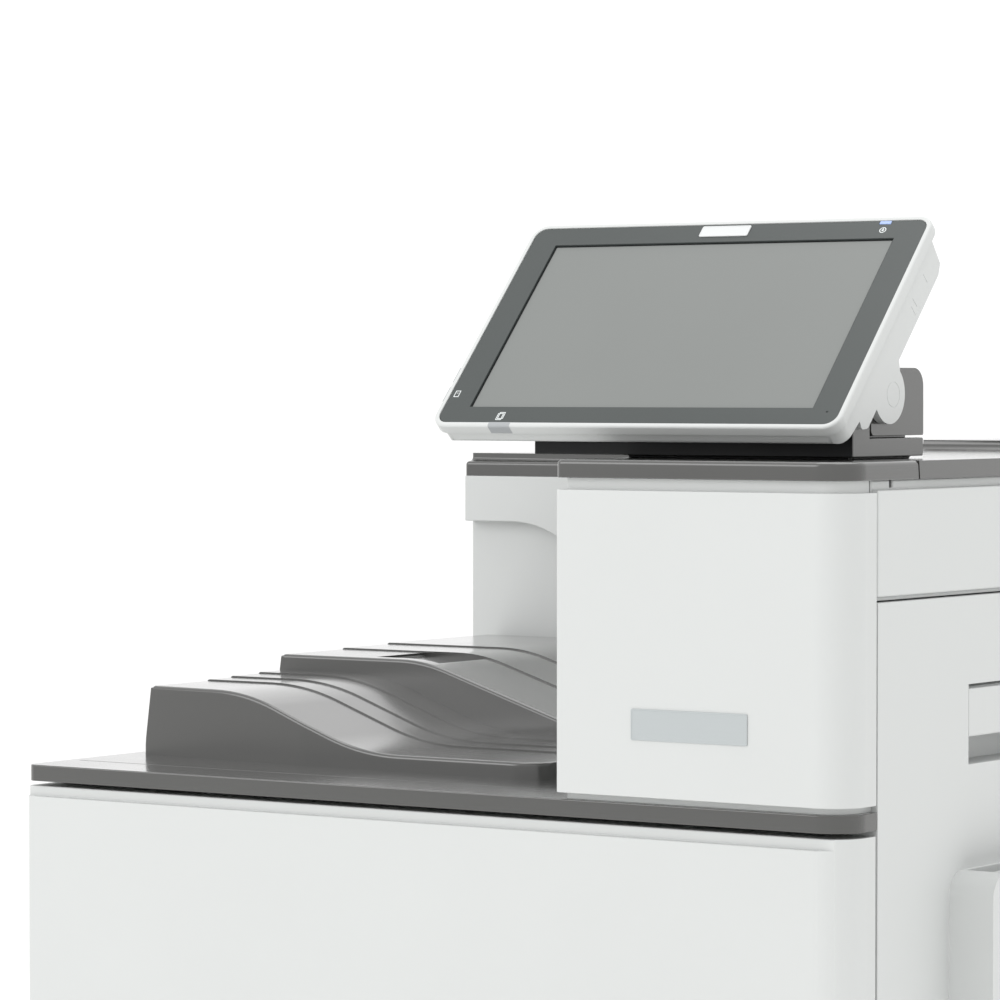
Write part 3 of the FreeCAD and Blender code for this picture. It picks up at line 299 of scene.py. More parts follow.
# ---- materials -----------------------------------------------------------------------------------------
def add_node(tree, kind, settings=(), links=()):
    """Adds a node; settings are (name, value) of inputs or attributes, links (input, output socket)."""
    node = tree.nodes.new(kind)
    for name, value in settings:
        if isinstance(name, str) and hasattr(node, name):
            setattr(node, name, value)
        else:
            node.inputs[name].default_value = value
    for name, socket in links:
        tree.links.new(socket, node.inputs[name])
    return node


def new_material(name, tint, roughness, **settings):
    """Material with a principled shader, its uniform values set on the shader's own sockets."""
    material = bpy.data.materials.new(name)
    material.use_nodes = True
    shader = material.node_tree.nodes["Principled BSDF"]
    shader.inputs["Base Color"].default_value = tint
    shader.inputs["Roughness"].default_value = roughness
    for key, value in settings.items():
        shader.inputs[key.replace("_", " ").title().replace("Ior", "IOR")].default_value = value
    return material, material.node_tree, shader


def grained(material, spacing, height, spread, roughness, tint):
    """Moulded grain as bump, with a slow drift of tone and gloss over a hand's breadth."""
    tree = material.node_tree
    shader = tree.nodes["Principled BSDF"]
    where = add_node(tree, "ShaderNodeTexCoord").outputs["Object"]
    grain = add_node(tree, "ShaderNodeTexNoise", [("Scale", 1 / spacing), ("Detail", 3.0)],
                     [("Vector", where)])
    bump = add_node(tree, "ShaderNodeBump", [("Strength", 0.5), ("Distance", height)],
                    [("Height", grain.outputs["Fac"])])
    tree.links.new(bump.outputs["Normal"], shader.inputs["Normal"])
    drift = add_node(tree, "ShaderNodeTexNoise", [("Scale", 9.0), ("Detail", 4.0)], [("Vector", where)])
    tone = add_node(tree, "ShaderNodeMapRange", [("From Min", 0.3), ("From Max", 0.7), ("To Min", 1 - spread),
                                                 ("To Max", 1 + spread)], [("Value", drift.outputs["Fac"])])
    shade = add_node(tree, "ShaderNodeVectorMath", [("operation", "SCALE"), (0, tint[:3])],
                     [("Scale", tone.outputs["Result"])])
    tree.links.new(shade.outputs["Vector"], shader.inputs["Base Color"])
    gloss = add_node(tree, "ShaderNodeMapRange", [("From Min", 0.3), ("From Max", 0.7),
                                                  ("To Min", roughness - 0.05), ("To Max", roughness + 0.05)],
                     [("Value", drift.outputs["Fac"])])
    tree.links.new(gloss.outputs["Result"], shader.inputs["Roughness"])
    return material


made = {}


def finish(name, make):
    """The named material, made once."""
    if name not in made:
        made[name] = make(name)
    return made[name]


def colours():
    return bpy.context.scene.printer_colours


def sizes():
    return bpy.context.scene.printer_sizes


def white_abs():
    """White ABS, injection moulded in a spark-eroded tool: matt, an even fine grain, soft wide highlights.
    The real grain is 0.3 mm across; it is drawn at 1.3 mm so that it shows."""
    def make(name):
        tint = list(colours().white)
        material, _, _ = new_material(name, tint, 0.5, ior=1.53)
        return grained(material, sizes().grain, 0.012 * MM, 0.008, 0.5, tint)
    return finish("white_abs_moulded", make)


def grey_abs():
    """Warm grey ABS under a thin clear lacquer, over a shallow grain: dark seen face on, with a pale sheen
    at grazing angles."""
    def make(name):
        tint = list(colours().grey)
        material, _, _ = new_material(name, tint, 0.2, ior=1.58, coat_weight=0.9, coat_roughness=0.17)
        return grained(material, sizes().grain * 1.2, 0.004 * MM, 0.02, 0.2, tint)
    return finish("grey_abs_moulded", make)


def printed_acrylic():
    """Clear acrylic printed dark on its back: an even colour under a smooth, slightly satin face."""
    def make(name):
        tint = list(colours().bezel)
        material, _, _ = new_material(name, tint, 0.3, ior=1.49)
        return grained(material, 2.5 * MM, 0.004 * MM, 0.01, 0.3, tint)
    return finish("acrylic_back_printed", make)


def display_film():
    """Unlit liquid-crystal display behind an anti-glare hard coat: flat grey with a faint sparkle grain."""
    def make(name):
        tint = list(colours().screen)
        material, _, _ = new_material(name, tint, 0.38, ior=1.5)
        return grained(material, 0.9 * MM, 0.006 * MM, 0.015, 0.38, tint)
    return finish("display_antiglare_film", make)


def black_abs_and_painted_shade():
    """Black ABS, moulded: deep shadows, a dull sheen along edges. Also laid on the bracket's front faces as
    painted shade under the panel.
    """
    def make(name):
        tint = linear("#111214")
        material, _, _ = new_material(name, tint, 0.5, ior=1.35)
        return grained(material, 1.2 * MM, 0.02 * MM, 0.06, 0.5, tint)
    return finish("black_abs_moulded", make)


def cool_grey_abs():
    """Pale cool grey ABS, moulded: smooth patches and caps that set off ports and symbols."""
    def make(name):
        tint = linear("#9FA2A4")
        material, _, _ = new_material(name, tint, 0.42, ior=1.53)
        return grained(material, 1.2 * MM, 0.01 * MM, 0.015, 0.42, tint)
    return finish("pale_grey_abs_moulded", make)


def lamp_polycarbonate():
    """Frosted polycarbonate light guide, lit from behind in pale blue."""
    def make(name):
        tint = list(colours().lamp)
        material, _, shader = new_material(name, tint, 0.35, ior=1.585, emission_strength=0.3)
        shader.inputs["Emission Color"].default_value = tint
        return grained(material, 1.0 * MM, 0.004 * MM, 0.03, 0.35, tint)
    return finish("polycarbonate_light_guide", make)


def satin_aluminium():
    """Thin aluminium foil plate, brushed along its length and lacquered: fine streaks, soft sheen."""
    def make(name):
        tint = list(colours().plate)
        material, tree, shader = new_material(name, tint, 0.42, metallic=0.55)
        where = add_node(tree, "ShaderNodeTexCoord").outputs["Object"]
        stretched = add_node(tree, "ShaderNodeMapping", [("Scale", (30.0, 900.0, 900.0))],
                             [("Vector", where)])
        streaks = add_node(tree, "ShaderNodeTexNoise", [("Scale", 1.0), ("Detail", 2.0)],
                           [("Vector", stretched.outputs["Vector"])])
        gloss = add_node(tree, "ShaderNodeMapRange", [("To Min", 0.34), ("To Max", 0.5)],
                         [("Value", streaks.outputs["Fac"])])
        tree.links.new(gloss.outputs["Result"], shader.inputs["Roughness"])
        bump = add_node(tree, "ShaderNodeBump", [("Strength", 0.3), ("Distance", 0.01 * MM)],
                        [("Height", streaks.outputs["Fac"])])
        tree.links.new(bump.outputs["Normal"], shader.inputs["Normal"])
        return material
    return finish("aluminium_brushed_lacquered", make)


def printed_badge():
    """Pale lacquered plastic badge: smooth, a little glossier than the bezel round it."""
    def make(name):
        tint = list(colours().badge)
        material, _, _ = new_material(name, tint, 0.35, ior=1.5)
        return grained(material, 2.0 * MM, 0.003 * MM, 0.01, 0.35, tint)
    return finish("lacquered_badge", make)


def white_ink():
    """Screen-printed white ink on acrylic: flat, opaque, slightly raised."""
    def make(name):
        tint = linear("#E2E6E6")
        material, _, _ = new_material(name, tint, 0.55)
        return grained(material, 0.6 * MM, 0.004 * MM, 0.03, 0.55, tint)
    return finish("white_screen_ink", make)


def foot_rubber():
    """Moulded nitrile rubber: near black, dull, dusty where it scuffs."""
    def make(name):
        tint = linear("#2B2A29")
        material, _, _ = new_material(name, tint, 0.8, ior=1.52)
        return grained(material, 1.5 * MM, 0.05 * MM, 0.15, 0.8, tint)
    return finish("nitrile_rubber_moulded", make)


def roller_rubber():
    """Ground silicone rubber: dark brown-grey, smooth, satin."""
    def make(name):
        tint = linear("#5A534C")
        material, _, _ = new_material(name, tint, 0.45, ior=1.43)
        return grained(material, 0.8 * MM, 0.01 * MM, 0.05, 0.45, tint)
    return finish("silicone_rubber_ground", make)


def zinc_steel():
    """Galvanised sheet steel: cold grey with centimetre spangle, each crystal tilting the sheen a little."""
    def make(name):
        tint = linear("#B4B8BA")
        material, tree, shader = new_material(name, tint, 0.4, metallic=0.85)
        where = add_node(tree, "ShaderNodeTexCoord").outputs["Object"]
        spangle = add_node(tree, "ShaderNodeTexVoronoi", [("Scale", 1 / (9 * MM))], [("Vector", where)])
        gloss = add_node(tree, "ShaderNodeMapRange", [("To Min", 0.3), ("To Max", 0.52)],
                         [("Value", spangle.outputs["Color"])])
        tree.links.new(gloss.outputs["Result"], shader.inputs["Roughness"])
        tone = add_node(tree, "ShaderNodeMapRange", [("To Min", 0.82), ("To Max", 1.05)],
                        [("Value", spangle.outputs["Color"])])
        shade = add_node(tree, "ShaderNodeVectorMath", [("operation", "SCALE"), (0, tint[:3])],
                         [("Scale", tone.outputs["Result"])])
        tree.links.new(shade.outputs["Vector"], shader.inputs["Base Color"])
        return material
    return finish("steel_galvanised_sheet", make)


def ground_steel():
    """Carbon steel shaft, centreless ground: bright, with fine marks around it."""
    def make(name):
        tint = linear("#C6C7C8")
        material, tree, shader = new_material(name, tint, 0.25, metallic=1.0)
        where = add_node(tree, "ShaderNodeTexCoord").outputs["Object"]
        marks = add_node(tree, "ShaderNodeTexNoise", [("Scale", 1 / (0.8 * MM)), ("Detail", 2.0)],
                         [("Vector", where)])
        gloss = add_node(tree, "ShaderNodeMapRange", [("To Min", 0.2), ("To Max", 0.34)],
                         [("Value", marks.outputs["Fac"])])
        tree.links.new(gloss.outputs["Result"], shader.inputs["Roughness"])
        return material
    return finish("steel_ground_shaft", make)


def belt_film():
    """Carbon-filled polyimide film: almost black, smooth and half glossy with long faint waves."""
    def make(name):
        tint = linear("#2F3032")
        material, _, _ = new_material(name, tint, 0.28, ior=1.7)
        return grained(material, 18 * MM, 0.08 * MM, 0.05, 0.28, tint)
    return finish("polyimide_film", make)


def inner_abs():
    """Mid grey engineering plastic inside the machine: matt with faint flow marks."""
    def make(name):
        tint = list(colours().inner)
        material, _, _ = new_material(name, tint, 0.55, ior=1.53)
        return grained(material, 2.0 * MM, 0.02 * MM, 0.05, 0.55, tint)
    return finish("grey_abs_inner", make)


def fence_acetal():
    """Green acetal, moulded: waxy, slightly translucent look, the colour of parts to handle."""
    def make(name):
        tint = list(colours().fence)
        material, _, _ = new_material(name, tint, 0.35, ior=1.48, subsurface_weight=0.05)
        return grained(material, 1.0 * MM, 0.01 * MM, 0.03, 0.35, tint)
    return finish("green_acetal_moulded", make)


def toner_hdpe(name, code):
    """Blow-moulded polyethylene bottle: waxy satin with an uneven, softly rippled skin."""
    def make(full):
        tint = linear(code)
        material, _, _ = new_material(full, tint, 0.42, ior=1.54, subsurface_weight=0.03)
        return grained(material, 7 * MM, 0.12 * MM, 0.04, 0.42, tint)
    return finish("polyethylene_blown_" + name, make)


def floor_paper():
    """Pale seamless paper sweep: dull, with barely visible fibre."""
    def make(name):
        tint = linear("#FAFAF9")
        material, _, _ = new_material(name, tint, 0.9)
        return grained(material, 3 * MM, 0.02 * MM, 0.004, 0.85, tint)
    return finish("paper_sweep", make)


# ---- pieces: touch panel -------------------------------------------------------------------------------
class PRINTER_OT_panel_frame(bpy.types.Operator):
    """White rim round the bezel, with its pale patch, and the two slot covers on its left edge."""
    bl_idname = "printer.panel_frame"
    bl_label = "Panel frame"

    def execute(self, context):
        half, low, high = BEZEL_HALF + RIM, BEZEL_LOW - RIM, BEZEL_HIGH + RIM
        rim = block("panel_rim", (-half, 0, low), (half, 6.5 * MM, high))
        round_edges(rim, lambda e: along(e, BACK), 10 * MM, 8)
        choose(rim, "FACE", lambda f: facing(f, -BACK))
        bpy.ops.mesh.inset(thickness=2.9 * MM, use_even_offset=True)
        bpy.ops.mesh.extrude_region_move(TRANSFORM_OT_translate={"value": (0, 3.2 * MM, 0)})
        bpy.ops.object.mode_set(mode="OBJECT")
        carve(rim, block("opening", (-SCREEN_HALF - 4 * MM, -MM, -4 * MM),
                         (SCREEN_HALF + 4 * MM, 8 * MM, SCREEN_UP + 4 * MM)))
        front = 0.01 * MM
        round_edges(rim, lambda e: len(e.link_faces) == 2 and all(v.co.y < front for v in e.verts) and any(
            abs(f.normal.y) < 0.1 and f.calc_center_median().length > 0 and all(
                abs(v.co.x) > half - 10.1 * MM or v.co.z < low + 10.1 * MM or v.co.z > high - 10.1 * MM
                for v in f.verts) and max(v.co.y for v in f.verts) > 6 * MM for f in e.link_faces),
            sizes().rim_edge, 5)
        soften(rim, 0.35 * MM)
        fit(lean(rim), "panel", "white_cover", white_abs(), ["panel_front_frame"])

        patch = block("panel_rim_patch", (-92.6 * MM, -0.06 * MM, low - 0.06 * MM),
                      (-78.1 * MM, 6 * MM, low + 2.9 * MM))
        inner = block("patch_core", (-95 * MM, 0.9 * MM, low + 0.9 * MM), (-75 * MM, 7 * MM, low + 4 * MM))
        round_edges(patch, lambda e: along(e, RIGHT) and all(v.co.y < 0 and v.co.z < low for v in e.verts),
                    sizes().rim_edge + 0.06 * MM, 5)
        soften(carve(patch, inner), 0.05 * MM)
        fit(lean(patch), "panel", "plate", cool_grey_abs())

        for index, up in enumerate((5, 20)):
            cover = block("panel_slot_cover_%d" % (index + 1), (-half - 1.2 * MM, 1.5 * MM, up * MM),
                          (-half, 5 * MM, (up + 11) * MM))
            choose(cover, "FACE", lambda f: facing(f, -RIGHT))
            bpy.ops.mesh.inset(thickness=0.7 * MM)
            bpy.ops.mesh.extrude_region_move(TRANSFORM_OT_translate={"value": (0.25 * MM, 0, 0)})
            bpy.ops.object.mode_set(mode="OBJECT")
            soften(cover, 0.3 * MM)
            fit(lean(cover), "panel", "white_cover", cool_grey_abs(), ["panel_media_covers"])
        return {"FINISHED"}


class PRINTER_OT_panel_bezel(bpy.types.Operator):
    """Dark bezel with its status lamp, blank badge, sensor hole and printed symbols."""
    bl_idname = "printer.panel_bezel"
    bl_label = "Panel bezel"

    def execute(self, context):
        bezel = block("panel_bezel_plate", (-BEZEL_HALF, BEZEL_FACE, BEZEL_LOW),
                      (BEZEL_HALF, 3.2 * MM, BEZEL_HIGH))
        round_edges(bezel, lambda e: along(e, BACK), 7 * MM, 8)
        carve(bezel, block("opening", (-SCREEN_HALF, -MM, 0), (SCREEN_HALF, 4 * MM, SCREEN_UP)),
              block("lamp_gap", (98.2 * MM, -MM, BEZEL_HIGH - 2.6 * MM),
                    (105.8 * MM, 4 * MM, BEZEL_HIGH + MM)),
              disc("sensor", (121.5 * MM, BEZEL_FACE, -2.9 * MM), 0.7 * MM, 1.2 * MM, "Y", 20))
        soften(bezel, 0.3 * MM)
        fit(lean(bezel), "panel", "dark_bezel", printed_acrylic(), ["panel_bezel"])

        lamp = block("panel_lamp", (98.4 * MM, 0.3 * MM, BEZEL_HIGH - 2.4 * MM),
                     (105.6 * MM, 3.2 * MM, BEZEL_HIGH - 0.1 * MM))
        soften(lamp, 0.3 * MM)
        fit(lean(lamp), "panel", "status_lamp", lamp_polycarbonate(), ["panel_status_light"])

        badge = block("panel_blank_badge", (-16 * MM, -0.2 * MM, BEZEL_HIGH - 9.4 * MM),
                      (16 * MM, BEZEL_FACE, BEZEL_HIGH - 1.4 * MM))
        round_edges(badge, lambda e: along(e, BACK), 0.9 * MM, 4)
        choose(badge, "FACE", lambda f: facing(f, -BACK))
        bpy.ops.mesh.inset(thickness=0.55 * MM)
        bpy.ops.mesh.extrude_region_move(TRANSFORM_OT_translate={"value": (0, 0.12 * MM, 0)})
        bpy.ops.object.mode_set(mode="OBJECT")
        soften(badge, 0.08 * MM)
        fit(lean(badge), "panel", "badge", printed_badge(), ["panel_badge"])
        self.symbols()
        return {"FINISHED"}

    def symbols(self):
        """Printed outlines: a ring with a dot for the lamp, two sheets and a memory card for the slots."""
        proud, back = 0.35 * MM, BEZEL_FACE + 0.05 * MM
        ring = disc("ring", LAMP_SYMBOL, 2.1 * MM, 0.1 * MM, "Y", 40)
        carve(ring, disc("ring_core", LAMP_SYMBOL, 1.6 * MM, MM, "Y", 40))
        dot = disc("dot", LAMP_SYMBOL, 0.75 * MM, 0.1 * MM, "Y", 24)
        bar = block("bar", (102.25 * MM, proud, 133 * MM), (102.75 * MM, back, 134.6 * MM))
        shapes = [ring, dot, bar]
        line = 0.45
        outlines = ((-87.8, -7.6, 1.9, 2.5), (-86.9, -6.7, 1.9, 2.5), (-124.9, 9.7, 1.7, 2.4))
        for x, up, wide, tall in outlines:
            sheet = block("sheet", ((x - wide) * MM, proud, (up - tall) * MM),
                          ((x + wide) * MM, back, (up + tall) * MM))
            carve(sheet, block("sheet_core", ((x - wide + line) * MM, -MM, (up - tall + line) * MM),
                               ((x + wide - line) * MM, MM, (up + tall - line) * MM)))
            shapes.append(sheet)
        shapes.append(block("card_pin", (-125.5 * MM, proud, 10.1 * MM), (-124.3 * MM, back, 10.5 * MM)))
        fit(lean(join("panel_symbols", shapes)), "panel", "badge", white_ink())


class PRINTER_OT_panel_display(bpy.types.Operator):
    """Touch glass set back in the bezel, dark border round the live area, and the case of the display."""
    bl_idname = "printer.panel_display"
    bl_label = "Panel display"

    def execute(self, context):
        depth = sizes().glass_depth
        glass = block("panel_touch_glass", (-SCREEN_HALF + 0.05 * MM, depth, 0.05 * MM),
                      (SCREEN_HALF - 0.05 * MM, 3.3 * MM, SCREEN_UP - 0.05 * MM))
        choose(glass, "FACE", lambda f: facing(f, -BACK))
        bpy.ops.mesh.inset(thickness=0.9 * MM, use_even_offset=True)
        bpy.ops.object.mode_set(mode="OBJECT")
        live = SCREEN_HALF - 1.1 * MM
        glass.data.materials.append(display_film())
        recolour(glass, black_abs_and_painted_shade(), lambda f: f.normal.y < -0.9 and (
            abs(f.center.x) > live or not MM < f.center.z < SCREEN_UP - MM))
        fit(lean(glass), "panel", "screen")

        case = block("panel_display_case", (-SCREEN_HALF - 3 * MM, 3.3 * MM, -3 * MM),
                     (SCREEN_HALF + 3 * MM, 6 * MM, SCREEN_UP + 3 * MM))
        soften(case, 0.5 * MM)
        fit(lean(case), "panel", "black_plastic", black_abs_and_painted_shade(), ["panel_display"])
        return {"FINISHED"}


class PRINTER_OT_panel_housing(bpy.types.Operator):
    """Back shell of the panel with its hinge ears, vents on both sides and screw wells."""
    bl_idname = "printer.panel_housing"
    bl_label = "Panel housing"

    def execute(self, context):
        shell = moulding("panel_rear_housing", "panel_back_shell")
        tools = []
        for side in (-1, 1):
            for up, depth in ((90, 17), (94.3, 15), (112, 14.5)):
                tools.append(block("vent", (side * SHELL_HALF - 0.2 * MM, depth * MM, up * MM),
                                   (side * SHELL_HALF + 0.2 * MM, (depth + 6.5) * MM, (up + 0.45) * MM)))
        for x in SCREW_ACROSS:
            tools.append(disc("well", (x * MM, 27 * MM, SCREW_UP), 3.4 * MM, 1.6 * MM, "Y", 28))
        for x in (SHELL_HALF, EAR_INNER):
            outer = disc("ear_ring", (x, HINGE_DEPTH, HINGE_UP), 7 * MM, 0.3 * MM, "X", 40)
            carve(outer, disc("ear_core", (x, HINGE_DEPTH, HINGE_UP), 6.7 * MM, 2 * MM, "X", 40))
            tools.append(outer)
        for tool in tools:
            lean(tool)
        carve(shell, *tools)
        soften(shell, 0.8 * MM, 3)
        fit(shell, "panel", "white_cover", white_abs(), ["panel_rear_housing"])
        screws = []
        for x in SCREW_ACROSS:
            screw = disc("screw", (x * MM, 26.6 * MM, SCREW_UP), 2.6 * MM, 0.8 * MM, "Y", 24)
            choose(screw, "FACE", lambda f: facing(f, BACK))
            bpy.ops.mesh.inset(thickness=1.5 * MM)
            bpy.ops.mesh.extrude_region_move(TRANSFORM_OT_translate={"value": (0, -0.5 * MM, 0)})
            bpy.ops.object.mode_set(mode="OBJECT")
            screws.append(screw)
        screws = soften(join("panel_back_screws", screws), 0.15 * MM)
        fit(lean(screws), "panel", "bright_steel", ground_steel())
        return {"FINISHED"}


class PRINTER_OT_panel_support(bpy.types.Operator):
    """Bracket on the lid, with black on its front faces as painted shade under the panel, and the hinge block
    on the bracket.
    """
    bl_idname = "printer.panel_support"
    bl_label = "Panel support"

    def execute(self, context):
        for node, name in (("panel_bracket", "panel_bracket_shell"),
                           ("panel_hinge_block", "panel_hinge_cover")):
            fit(soften(moulding(node, name), 0.9 * MM, 3), "root", "grey_cover", grey_abs(), [node])
            if node == "panel_bracket":
                # The bracket's front faces take the black plastic as painted shade: it stands in for the
                # shadow the panel casts on them.
                recolour(bpy.data.objects[name], black_abs_and_painted_shade(), lambda f: f.normal.y < -0.8)
        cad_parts["panel_hinge_pin"].data.materials.clear()
        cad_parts["panel_hinge_pin"].data.materials.append(ground_steel())
        return {"FINISHED"}


# ---- pieces: tower, lids and output bay ----------------------------------------------------------------
class PRINTER_OT_lids(bpy.types.Operator):
    """Grey lids of the tower and the rear housing, rounded along their outer top edges. The raised tier of
    the tower's rear lid has a cove at the foot of its front wall."""
    bl_idname = "printer.lids"
    bl_label = "Lids"

    def execute(self, context):
        for node, name in (("tower_front_cap", "tower_front_lid"), ("tower_rear_cap", "tower_rear_lid"),
                           ("rear_housing_cap", "rear_housing_lid")):
            low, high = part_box(node)
            lid = moulding(node, name)
            top = 9.8 * MM if node == "tower_front_cap" else 9.6 * MM
            level = low.z + top
            outer = lambda e: (all(level - 0.6 * MM < v.co.z < low.z + 10.2 * MM for v in e.verts)
                               and any(f.normal.z > 0.9 for f in e.link_faces)
                               and any(abs(f.normal.z) < 0.2 and self.outside(f, low, high)
                                       for f in e.link_faces))
            round_edges(lid, outer, sizes().lid_edge, 4)
            if node == "tower_rear_cap":
                carve(lid, disc("cove", ((low.x + high.x) / 2, TIER_WALL, high.z - 0.02 * MM), TIER_RISE,
                                high.x - low.x + 4 * MM, "X", 96))
            soften(lid, 0.6 * MM, 2)
            fit(lid, "root", "grey_cover", grey_abs(), [node])
        return {"FINISHED"}

    def outside(self, face, low, high):
        """Whether a wall is the lid's left, right or front wall, or a corner between them."""
        centre = face.calc_center_median()
        near = 22 * MM
        return ((centre.x > high.x - near and face.normal.x > 0.05)
                or (centre.x < low.x + near and face.normal.x < -0.05)
                or (centre.y < low.y + near and face.normal.y < -0.05))


class PRINTER_OT_tower(bpy.types.Operator):
    """White tower: front cover, inner frame with a slit in its right neck, blank name plate."""
    bl_idname = "printer.tower"
    bl_label = "Tower"

    def execute(self, context):
        cover = moulding("tower_front_cover", "tower_cover")
        fit(soften(cover, sizes().cover_edge, 3), "root", "white_cover", white_abs(), ["tower_front_cover"])

        side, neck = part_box("tower_frame")[1].x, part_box("tower_front_cap")[0].z
        inner = moulding("tower_frame", "tower_inner_frame")
        carve(inner, block("slit", (side - 12 * MM, SLIT_FRONT, neck - 7 * MM),
                           (side + MM, SLIT_BACK, neck + MM)))
        soften(inner, 0.5 * MM, 2)
        fit(inner, "root", "white_cover", white_abs(), ["tower_frame"])

        low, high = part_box("name_plate")
        plate = block("tower_blank_plate", low, high)
        round_edges(plate, lambda e: along(e, BACK), 0.8 * MM, 4)
        choose(plate, "FACE", lambda f: facing(f, -BACK))
        bpy.ops.mesh.inset(thickness=0.7 * MM)
        bpy.ops.mesh.extrude_region_move(TRANSFORM_OT_translate={"value": (0, 0.15 * MM, 0)})
        bpy.ops.object.mode_set(mode="OBJECT")
        fit(soften(plate, 0.08 * MM), "root", "plate", satin_aluminium(), ["name_plate"])
        return {"FINISHED"}


class PRINTER_OT_output_tray(bpy.types.Operator):
    """Two humps of the output tray: rounded outside, with crisp low steps between their strips."""
    bl_idname = "printer.output_tray"
    bl_label = "Output tray"

    def execute(self, context):
        for node, name in (("output_tray", "output_tray_front"), ("output_tray_step", "output_tray_back")):
            low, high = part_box(node)
            tray = moulding(node, name)
            rim = lambda e: (len(e.link_faces) == 2 and any(f.normal.z > 0.6 for f in e.link_faces)
                             and any(f.normal.y < -0.6 and abs(f.normal.z) < 0.1
                                     and f.calc_center_median().y < low.y + 24 * MM for f in e.link_faces)
                             and min(v.co.z for v in e.verts) > low.z + 5 * MM)
            round_edges(tray, rim, sizes().tray_edge, 4, clamp=False)
            soften(tray, 0.45 * MM, 2, 30)
            fit(tray, "root", "grey_cover", grey_abs(), [node])
        return {"FINISHED"}


class PRINTER_OT_rear_housing(bpy.types.Operator):
    """White housing behind the tray with its rounded recess."""
    bl_idname = "printer.rear_housing"
    bl_label = "Rear housing"

    def execute(self, context):
        shell = moulding("rear_housing", "rear_housing_shell")
        fit(soften(shell, 1.2 * MM, 3), "root", "white_cover", white_abs(), ["rear_housing"])
        return {"FINISHED"}


class PRINTER_OT_deck(bpy.types.Operator):
    """Grey deck with a rounded front edge."""
    bl_idname = "printer.deck"
    bl_label = "Deck"

    def execute(self, context):
        low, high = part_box("deck")
        deck = moulding("deck", "deck_slab")
        reach = 22 * MM
        outer = lambda e: (all(v.co.z > high.z - 0.05 * MM for v in e.verts)
                           and any(abs(f.normal.z) < 0.1 and (
                               (f.normal.y < -0.05 and f.calc_center_median().y < low.y + reach)
                               or (f.normal.x < -0.5 and f.calc_center_median().x < low.x + MM))
                               for f in e.link_faces))
        round_edges(deck, outer, sizes().deck_edge, 4)
        fit(soften(deck, 0.35 * MM, 2), "root", "grey_cover", grey_abs(), ["deck"])
        return {"FINISHED"}


# ---- pieces: doors, drawers and side covers ------------------------------------------------------------
class PRINTER_OT_front_door(bpy.types.Operator):
    """Front door with its set-back top lip."""
    bl_idname = "printer.front_door"
    bl_label = "Front door"

    def execute(self, context):
        door = soften(moulding("front_door", "front_door_shell"), sizes().cover_edge * 0.7, 3)
        fit(door, "front_door", "white_cover", white_abs(), ["front_door"])
        return {"FINISHED"}


class PRINTER_OT_drawers(bpy.types.Operator):
    """Drawer fronts with recessed grips, and a small size window at the right of each."""
    bl_idname = "printer.drawers"
    bl_label = "Drawers"

    def execute(self, context):
        for which in ("lower", "upper"):
            node, body = which + "_drawer_front", which + "_drawer"
            low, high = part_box(node)
            front = moulding(node, which + "_drawer_cover")
            x0, z0 = high.x - 92 * MM, high.z - 44 * MM
            carve(front, block("window_well", (x0, low.y - MM, z0),
                               (x0 + 20 * MM, low.y + 1.6 * MM, z0 + 26 * MM)))
            fit(soften(front, sizes().cover_edge * 0.7, 3), body, "white_cover", white_abs(), [node])
            card = block(which + "_size_card", (x0 + 0.3 * MM, low.y + 0.6 * MM, z0 + 0.3 * MM),
                         (x0 + 19.7 * MM, low.y + 1.5 * MM, z0 + 25.7 * MM))
            choose(card, "FACE", lambda f: facing(f, -BACK))
            bpy.ops.mesh.inset(thickness=1.4 * MM)
            bpy.ops.mesh.extrude_region_move(TRANSFORM_OT_translate={"value": (0, 0.3 * MM, 0)})
            bpy.ops.object.mode_set(mode="OBJECT")
            fit(soften(card, 0.2 * MM), body, "badge", cool_grey_abs())
        return {"FINISHED"}


class PRINTER_OT_side_covers(bpy.types.Operator):
    """Left cover with louvres and hand well, right cover, and upper right cover with a notch in its top edge
    and a ledge that backs the groove round it."""
    bl_idname = "printer.side_covers"
    bl_label = "Side covers"

    def execute(self, context):
        left = moulding("left_cover", "left_side_cover")
        low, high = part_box("left_cover")
        for row in range(9):
            z = 470 * MM + row * 8 * MM
            carve(left, block("louvre", (low.x - MM, 150 * MM, z),
                              (low.x + 1.4 * MM, 270 * MM, z + 3 * MM)))
        handle = block("hand_well", (low.x - MM, -60 * MM, 150 * MM), (low.x + 1.8 * MM, 60 * MM, 182 * MM))
        round_edges(handle, lambda e: along(e, RIGHT), 6 * MM, 6)
        carve(left, handle)
        fit(soften(left, sizes().cover_edge, 2), "root", "white_cover", white_abs(), ["left_cover"])
        right = soften(moulding("right_cover", "right_side_cover"), sizes().cover_edge, 2)
        fit(right, "root", "white_cover", white_abs(), ["right_cover"])

        upper = moulding("right_upper_cover", "right_upper_side_cover")
        low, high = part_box("right_upper_cover")
        side, deep = high.x - 4 * MM, high.z - 3.4 * MM
        middle, radius = (NOTCH_FRONT + NOTCH_BACK) / 2, (NOTCH_BACK - NOTCH_FRONT) / 2
        carve(upper, block("notch", (side - 6 * MM, NOTCH_FRONT, deep), (side + MM, NOTCH_BACK, high.z + MM)),
              disc("notch_end", (side - 2.5 * MM, middle, deep), radius, 7 * MM, "X", 24))
        soften(upper, sizes().cover_edge, 2)
        back = block("groove_back", (side - 3 * MM, low.y + 0.3 * MM, low.z),
                     (side + 0.05 * MM, high.y - 0.3 * MM, low.z + 4 * MM))
        upper = join("right_upper_side_cover", [upper, soften(back, 0.12 * MM)])
        fit(upper, "root", "white_cover", white_abs(), ["right_upper_cover"])
        return {"FINISHED"}


